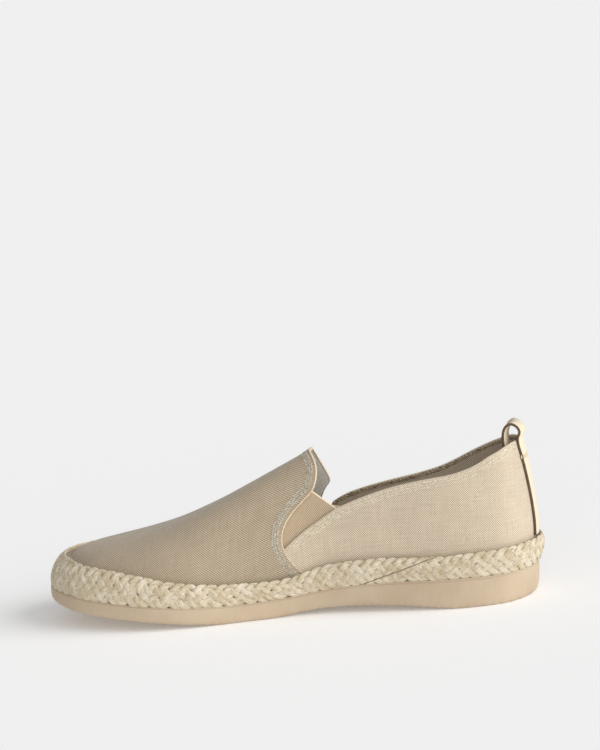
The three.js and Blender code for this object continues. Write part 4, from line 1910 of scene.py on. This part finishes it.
@dataclass
class SoleUnit:
    """Moulded rubber sole with a thin lip at its top and a ribbed tread."""

    last: Last
    weaver: Weaver
    columns: int = 560
    pitch: float = 4.6
    groove: float = 0.5
    # share of the wall's height over which the tread's cuts run out
    run_out: float = 0.16
    # the wall's section: share of its height, and how far inside its outline
    wall: tuple[tuple[float, float], ...] = (
        (0.0, 2.6), (0.03, 1.9), (0.08, 1.25), (0.2, 0.6), (0.35, 0.3), (0.5, 0.15), (0.68, 0.05),
        (0.85, 0.0), (0.895, 0.05), (0.905, 0.3), (0.92, 0.3), (0.93, 0.0), (0.97, 0.1), (0.99, 0.4),
        (1.0, 1.0),
    )
    # rings of the tread, as shares of the way in to the middle
    under: tuple[float, ...] = (0.02, 0.05, 0.1, 0.2, 0.35, 0.5, 0.65, 0.8, 0.92, 1.0)

    def tread_cut(self, x: Array, deep: Array) -> Array:
        """Height of the tread's cross cuts above the sole's underside.

        Args:
            x: distances from the heel.
            deep: share of the full depth.

        Returns:
            One height for each, in millimetres.
        """
        wave = np.cos(2 * math.pi * x / self.pitch)
        cut = np.clip((wave - 0.35) / 0.5, 0, 1)
        return self.groove * deep * cut * cut * (3 - 2 * cut)

    def sheet(self, rubber: bpy.types.Material) -> bpy.types.Object:
        """The whole sole, tread to deck.

        Args:
            rubber: the sole's material.

        Returns:
            The piece.
        """
        rows_under, rows_wall = len(self.under), len(self.wall)
        total = rows_under + rows_wall + 4
        wall = np.array(self.wall)
        rows_run = np.linspace(0, 1, 5)[1:]

        def place(u: Array, v: Array) -> Array:
            """From the middle of the tread out, up the wall and in over the deck.

            Args:
                u: shares across the grid.
                v: shares up the grid.

            Returns:
                Points in millimetres.
            """
            row = np.rint(v * total).astype(int)
            turn = (u * 2 - 1) * math.pi
            rows, middle = self.last.spokes(turn)
            is_under = row < rows_under
            w = np.clip(row - rows_under, 0, rows_wall - 1)
            share = np.where(is_under, 0.0, wall[w, 0])
            inset = np.where(is_under, wall[0, 1], wall[w, 1])
            ring = rows[:, :2] - rows[:, 2:4] * inset[:, None]
            inward = np.where(is_under, np.array(self.under[::-1])[np.clip(row, 0, rows_under - 1)], 0.0)
            last_rows = np.clip(row - rows_under - rows_wall, 0, 3)
            inward = np.where(row >= rows_under + rows_wall, rows_run[last_rows], inward)
            xy = ring + (middle - ring) * inward[:, None]
            low, deck = self.last.tread(xy[:, 0]), self.last.read("deck", xy[:, 0])
            z = low + (deck - low) * share
            edge = np.clip(1 - share / self.run_out, 0, 1)
            z = z + self.tread_cut(xy[:, 0], edge * np.where(inward < 0.9, 1.0, 0.6))
            return self.last.lean(xy[:, 0], xy[:, 1], z)

        def flat(u: Array, v: Array) -> Array:
            """Lengths round the sole and across it."""
            turn = (u * 2 - 1) * math.pi
            return np.stack([self.run(turn), v * 60], -1)

        bm = self.weaver.grid(self.columns, total, place, flat)
        return self.weaver.finish(bm, "rubber_sole", [rubber], "rubber")

    def run(self, turn: Array) -> Array:
        """Length round the sole to a turn.

        Args:
            turn: turns about the shoe.

        Returns:
            One length for each, in millimetres.
        """
        t = np.linspace(-math.pi, math.pi, 721)
        rows, _ = self.last.around(t)
        along = length_along(rows[:, :2])
        return np.interp(turn, t, along)


@dataclass
class Footbed:
    """The padded footbed on the sole, inside the upper."""

    last: Last
    weaver: Weaver
    inset: float = 7.2
    thick: float = 4.0
    columns: int = 160
    # share in towards the middle, how far inside the edge in mm, and share of the thickness
    section: tuple[tuple[float, float, float], ...] = (
        (1.0, 0.0, 0.0), (0.5, 0.0, 0.0), (0.0, 0.6, 0.0), (0.0, 0.0, 0.25), (0.0, 0.0, 0.6),
        (0.0, 0.25, 0.85), (0.0, 0.9, 1.0), (0.06, 0.9, 1.0), (0.15, 0.9, 1.02), (0.3, 0.9, 1.03),
        (0.5, 0.9, 1.04), (0.75, 0.9, 1.04), (1.0, 0.9, 1.04),
    )

    def sheet(self, cloth: bpy.types.Material) -> bpy.types.Object:
        """The footbed, closed all round.

        Args:
            cloth: the footbed's material.

        Returns:
            The piece.
        """
        section = np.array(self.section)
        total = len(section) - 1

        def place(u: Array, v: Array) -> Array:
            """From the middle of its underside out, round the edge and in over its top.

            Args:
                u: shares across the grid.
                v: shares up the grid.

            Returns:
                Points in millimetres.
            """
            row = section[np.rint(v * total).astype(int)]
            rows, middle = self.last.spokes((u * 2 - 1) * math.pi)
            ring = rows[:, :2] - rows[:, 2:4] * (self.inset + row[:, 1:2])
            xy = ring + (middle - ring) * row[:, :1]
            z = self.last.read("deck", xy[:, 0]) + self.last.clearance + self.thick * row[:, 2]
            return self.last.lean(xy[:, 0], xy[:, 1], z)

        def flat(u: Array, v: Array) -> Array:
            """Plan position, so that the cloth's threads run straight."""
            return place(u, v)[:, :2]

        bm = self.weaver.grid(self.columns, total, place, flat)
        piece = self.weaver.finish(bm, "footbed", [cloth], "insole")
        return piece


@dataclass
class Plait:
    """Five strands of jute plaited flat and wrapped once round the foot of the upper."""

    last: Last
    weaver: Weaver
    strands: int = 5
    period: float = 31.0
    samples: int = 26
    sides: int = 10
    swing: float = 0.3
    depth: float = 0.85
    hug: float = 2.3
    half_thick: float = 0.85
    # the strands' middles: the lowest, and how far they range, as shares of the band's height
    lowest: float = 0.085
    span: float = 0.82
    lap_low: tuple[float, float] = (95.0, 17.5)
    lap_high: tuple[float, float] = (52.0, 31.5)
    lap_from: float = 104.0
    lap_to: float = 43.0
    lap_zone: float = 110.0
    lap_gap: float = 0.2
    # the backing ring's section: share of the band's height, and how far inside its outline
    ring: tuple[tuple[float, float], ...] = (
        (0.0, 1.6), (0.15, 1.5), (0.5, 1.6), (0.8, 2.2), (0.93, 3.2), (0.95, 4.35), (0.5, 4.4),
        (0.0, 4.4), (0.0, 3.0), (0.0, 1.6))

    def wall(self, turn: Array, share: Array, inset: Array) -> Array:
        """Points of the band's surface: share 0 at the sole to 1 at its top.

        Args:
            turn: turns about the shoe.
            share: shares of the band's height.
            inset: how far inside the outline.

        Returns:
            One point for each turn.
        """
        rows, _ = self.last.around(turn)
        x = rows[..., 0] - rows[..., 2] * inset
        low = self.last.read("deck", x) + self.last.clearance
        z = low + (self.last.read("band", x) - low) * share
        return self.last.at_height(turn, z, inset)

    def lie(self, share: Array) -> Array:
        """How deep the plait's middle lies: it hugs the upper towards its top."""
        t = np.clip((share - 0.66) / 0.34, 0, 1)
        return self.depth + self.hug * t * t

    def strand_share(self, phase: Array) -> tuple[Array, Array]:
        """Height across the plait and depth of a strand at a point of its swing.

        Args:
            phase: shares of the strand's swing.

        Returns:
            The heights, 0 to 1, and how far it lies over (1) or under (-1) the others.
        """
        n = self.strands
        height = np.clip((0.5 - np.abs(2 * phase - 1)) * 1.22 + 0.5, 0, 1)
        knots = np.arange(2 * n + 1)
        sign = np.where(knots % 2 == 0, 1.0, -1.0)
        over = np.where(knots < n, sign, -sign)
        over = np.where((knots % n) == 0, 0.0, over)
        at = phase * 2 * n
        i = np.clip(at.astype(int), 0, 2 * n - 1)
        f = (1 - np.cos((at - i) * math.pi)) / 2
        return height, over[i] + (over[i + 1] - over[i]) * f

    def strip(self, index: int) -> bmesh.types.BMesh:
        """One strand for the whole wrap, with its ends still square.

        Args:
            index: which strand.

        Returns:
            The strand as a bmesh.
        """
        start = float(self.last.turn_at(np.array([self.lap_from]), Side.INNER)[0])
        stop = 2 * math.pi + start - float(self.last.turn_at(np.array([self.lap_to]), Side.INNER)[0])
        fine = np.linspace(0, stop, 4000)
        mid = self.wall(start - fine, np.full(4000, 0.5), np.full(4000, 0.6))
        run = length_along(mid)
        rng = np.random.default_rng(20 + index)
        count = int(run[-1] / self.period * self.samples)
        s = np.linspace(0, run[-1], count)
        wobble = np.interp(s, np.linspace(0, run[-1], 40), rng.normal(0, 0.02, 40))
        phase = (s / self.period + index / self.strands + wobble) % 1
        height, over = self.strand_share(phase)
        turn = start - np.interp(s, run, fine)
        share = self.lowest + self.span * height
        puff = np.interp(s, np.linspace(0, run[-1], 150), rng.normal(1, 0.07, 150))
        path = self.wall(turn, share, self.lie(share) - self.swing * over)
        lower = self.wall(turn, np.zeros(count), np.full(count, self.depth))
        upper = self.wall(turn, np.ones(count), np.full(count, self.depth))
        tall = np.linalg.norm(upper - lower, axis=1)
        slope = np.arctan(2 * tall * 0.79 / self.period)
        wide = 0.56 * self.period / self.strands * np.sin(slope) * puff
        wide = wide * (1 + 0.12 * np.maximum(over, 0))
        _, _, _, normal = self.last.axes(turn, np.full(count, 0.12), 0.0)
        return self.weaver.tube(path, normal, wide, self.half_thick * puff, self.sides)

    def band(self, jute: bpy.types.Material) -> bpy.types.Object:
        """The plait, its two ends cut on the slant and lapped on the inner side.

        Args:
            jute: the strands' material.

        Returns:
            The piece.
        """
        low, high = np.array(self.lap_low), np.array(self.lap_high)
        along = (high - low) / np.linalg.norm(high - low)
        rise = Vector((along[1], 0, -along[0]))
        middle = self.last.to_frame(np.array([(low[0] + high[0]) / 2, 30, (low[1] + high[1]) / 2]))
        parts = []
        for index in range(self.strands):
            bm = self.strip(index)
            layer = bm.loops.layers.uv["UVMap"]
            length = max(loop[layer].uv.x for f in bm.faces for loop in f.loops)
            for first in (True, False):
                zone = [f for f in bm.faces if self._near_end(f, layer, length, first)]
                rims = list({e for f in zone for e in f.edges})
                geom = list({v for f in zone for v in f.verts}) + rims + zone
                gap = (self.lap_gap if first else -self.lap_gap) / 1000
                bmesh.ops.bisect_plane(bm, geom=geom, dist=1e-7, plane_co=Vector(middle) - rise * gap,
                                       plane_no=rise if first else -rise, clear_outer=True)
            self.weaver.close(bm)
            parts.append(bm)
        return self.weaver.finish(self.weaver.join(parts), "jute_plait", [jute], "jute")

    def _near_end(self, face: bmesh.types.BMFace, layer: bmesh.types.BMLayerItem, length: float,
                  first: bool) -> bool:
        """Whether a face lies within the lap, at the strand's start or at its end."""
        at = sum(loop[layer].uv.x for loop in face.loops) / len(face.loops)
        return at < self.lap_zone if first else at > length - self.lap_zone

    def backing(self, jute: bpy.types.Material) -> bpy.types.Object:
        """The plain ring of jute behind the plait.

        Args:
            jute: the ring's material.

        Returns:
            The piece.
        """
        section = np.array(self.ring)
        total = len(section) - 1

        def place(u: Array, v: Array) -> Array:
            """Round the shoe with u and round the ring's section with v."""
            row = section[np.rint(v * total).astype(int)]
            return self.wall((u * 2 - 1) * math.pi, row[:, 0], row[:, 1])

        def flat(u: Array, v: Array) -> Array:
            """Rough lengths, for the fibre."""
            return np.stack([u * 700, v * 40], -1)

        bm = self.weaver.grid(240, total, place, flat)
        return self.weaver.finish(bm, "jute_backing", [jute], "jute")


# ------------------------------------------------------------------ the set


@dataclass
class Studio:
    """Pale floor, soft light and the camera."""

    aim: tuple[float, float, float] = (145.0, 0.0, 45.0)
    azimuth: float = 193.5
    elevation: float = 13.0
    roll: float = -6.3
    distance: float = 2.2
    lens: float = 182.0
    shift: tuple[float, float] = (0.0193, 0.2043)
    room_light: float = 0.38
    # each lamp: name, azimuth and elevation where it stands, its width in degrees, and strength
    lamps: tuple[tuple[str, float, float, float, float], ...] = (
        ("key", 256, 30, 50, 2.0), ("fill", 207, 8, 60, 1.15))

    def floor(self, finish: bpy.types.Material) -> None:
        """A wide flat floor at the shoe's feet.

        Args:
            finish: the floor's material.
        """
        bm = bmesh.new()
        bmesh.ops.create_grid(bm, x_segments=1, y_segments=1, size=15)
        mesh = bpy.data.meshes.new("floor")
        bm.to_mesh(mesh)
        bm.free()
        mesh.materials.append(finish)
        floor = bpy.data.objects.new("floor", mesh)
        bpy.context.scene.collection.objects.link(floor)

    def lights(self) -> None:
        """An even room and two broad, soft lamps."""
        world = bpy.data.worlds.new("room")
        world.use_nodes = True
        world.node_tree.nodes["Background"].inputs[0].default_value = (1.0, 1.0, 1.0, 1.0)
        world.node_tree.nodes["Background"].inputs[1].default_value = self.room_light
        bpy.context.scene.world = world
        for name, azimuth, elevation, angle, strength in self.lamps:
            data = bpy.data.lights.new(name, "SUN")
            data.energy = strength
            data.angle = math.radians(angle)
            lamp = bpy.data.objects.new(name, data)
            lamp.rotation_mode = "QUATERNION"
            lamp.rotation_quaternion = direction(azimuth, elevation).to_track_quat("Z", "Y")
            bpy.context.scene.collection.objects.link(lamp)

    def camera(self, last: Last) -> None:
        """A long lens on the shoe's inner side, a little from behind and above.

        Args:
            last: the form that the camera is aimed at.
        """
        data = bpy.data.cameras.new("camera")
        data.lens = self.lens
        data.sensor_width = 36
        data.shift_x, data.shift_y = self.shift
        data.clip_end = 60
        camera = bpy.data.objects.new("camera", data)
        back = direction(self.azimuth, self.elevation)
        aim = Vector(last.to_frame(np.array(self.aim)))
        camera.rotation_mode = "QUATERNION"
        turned = back.to_track_quat("Z", "Y").to_matrix().to_4x4() @ Matrix.Rotation(
            math.radians(self.roll), 4, "Z")
        camera.location = aim + back * self.distance
        camera.rotation_quaternion = turned.to_quaternion()
        bpy.context.scene.collection.objects.link(camera)
        bpy.context.scene.camera = camera
        bpy.context.scene.view_settings.view_transform = "Standard"


def main() -> None:
    """Build the shoe round its frame, piece by piece, then the set."""
    logging.basicConfig(level=logging.INFO, format="%(name)s: %(message)s")
    last = Last()
    weaver = Weaver(last)
    skin = Skin(last, Relief())
    edges = Edges(last)
    log.info("origin lies %.2f mm from the heel, %.2f mm off its middle", last.shift[0], last.shift[1])

    canvas = Weave("canvas", linear(238, 226, 206), linear(179, 156, 127)).build()
    # The vamp's canvas is the quarters' canvas darkened: painted shade over the front of the shoe.
    vamp_canvas_painted_shade = Weave("vamp_canvas_painted_shade", linear(210, 196, 171), linear(143, 122, 98)).build()
    lining = Weave("pale_lining", linear(254, 253, 248), linear(244, 242, 232)).build()
    brown_lining = Weave("brown_lining", linear(236, 222, 200), linear(178, 162, 140)).build()
    binding = Mottled("binding_tape", linear(232, 214, 188), linear(208, 188, 160)).build()
    silver = Mottled("silver_thread", linear(236, 230, 214), linear(146, 138, 120), 0.9).build()
    white = Mottled("white_thread", linear(252, 244, 226), linear(206, 194, 168), 0.9).build()
    twist = Mottled("brown_thread", linear(214, 196, 168), linear(112, 96, 76), 1.4).build()
    elastic = Ribbed("elastic", linear(219, 201, 174), linear(172, 149, 120)).build()
    selvedge = Mottled("selvedge", linear(250, 232, 206), linear(230, 208, 180)).build()
    tape = Ribbed("pull_tape", linear(240, 230, 208), linear(222, 208, 182), 0.7, 0.04, 0.3).build()
    # The tape's cut edges are painted shade: a dark brown where shade falls along them.
    shaded_tape_edge = Mottled("tape_edge_painted_shade", linear(122, 104, 80), linear(84, 70, 52)).build()
    rubber = Rubber("rubber", linear(201, 182, 156), linear(192, 172, 145)).build()
    jute = Fibre("jute", linear(229, 217, 195), linear(206, 189, 158), linear(152, 137, 105)).build()
    # The backing ring is the plait's jute darkened: painted shade where it shows in the gaps between the
    # strands.
    shaded_jute_backing = Fibre("jute_backing", linear(182, 168, 136), linear(154, 140, 108),
                      linear(116, 104, 78)).build()
    bed = Weave("footbed_cloth", linear(190, 172, 144), linear(150, 132, 106), 0.8).build()

    vamp = Vamp(skin, edges, weaver)
    quarters = Quarters(skin, edges, weaver)
    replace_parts(vamp.sheet(vamp_canvas_painted_shade, lining), "upper")
    vamp.binding(binding)
    vamp.stitching(silver)
    vamp.under_stitching(white)
    quarters.sheet(canvas, brown_lining)
    quarters.stitching(white)
    quarters.whipping(twist)
    quarters.counter_seam(silver)
    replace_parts(Gore(skin, weaver, Side.INNER).sheet(elastic, selvedge), "gore_inner")
    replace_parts(Gore(skin, weaver, Side.OUTER).sheet(elastic, selvedge), "gore_outer")
    pull = PullTape(last, weaver)
    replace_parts(pull.sheet(tape, shaded_tape_edge), "pull_loop")
    pull.tack(binding)
    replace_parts(SoleUnit(last, weaver).sheet(rubber), "outsole")
    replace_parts(Footbed(last, weaver).sheet(bed), "insole")
    plait = Plait(last, weaver)
    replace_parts(plait.band(jute), "jute_band")
    plait.backing(shaded_jute_backing)

    studio = Studio()
    studio.floor(Plain("floor", linear(247, 247, 247), glow=0.165).build())
    studio.lights()
    studio.camera(last)
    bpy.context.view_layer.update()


if __name__ == "__main__":
    main()
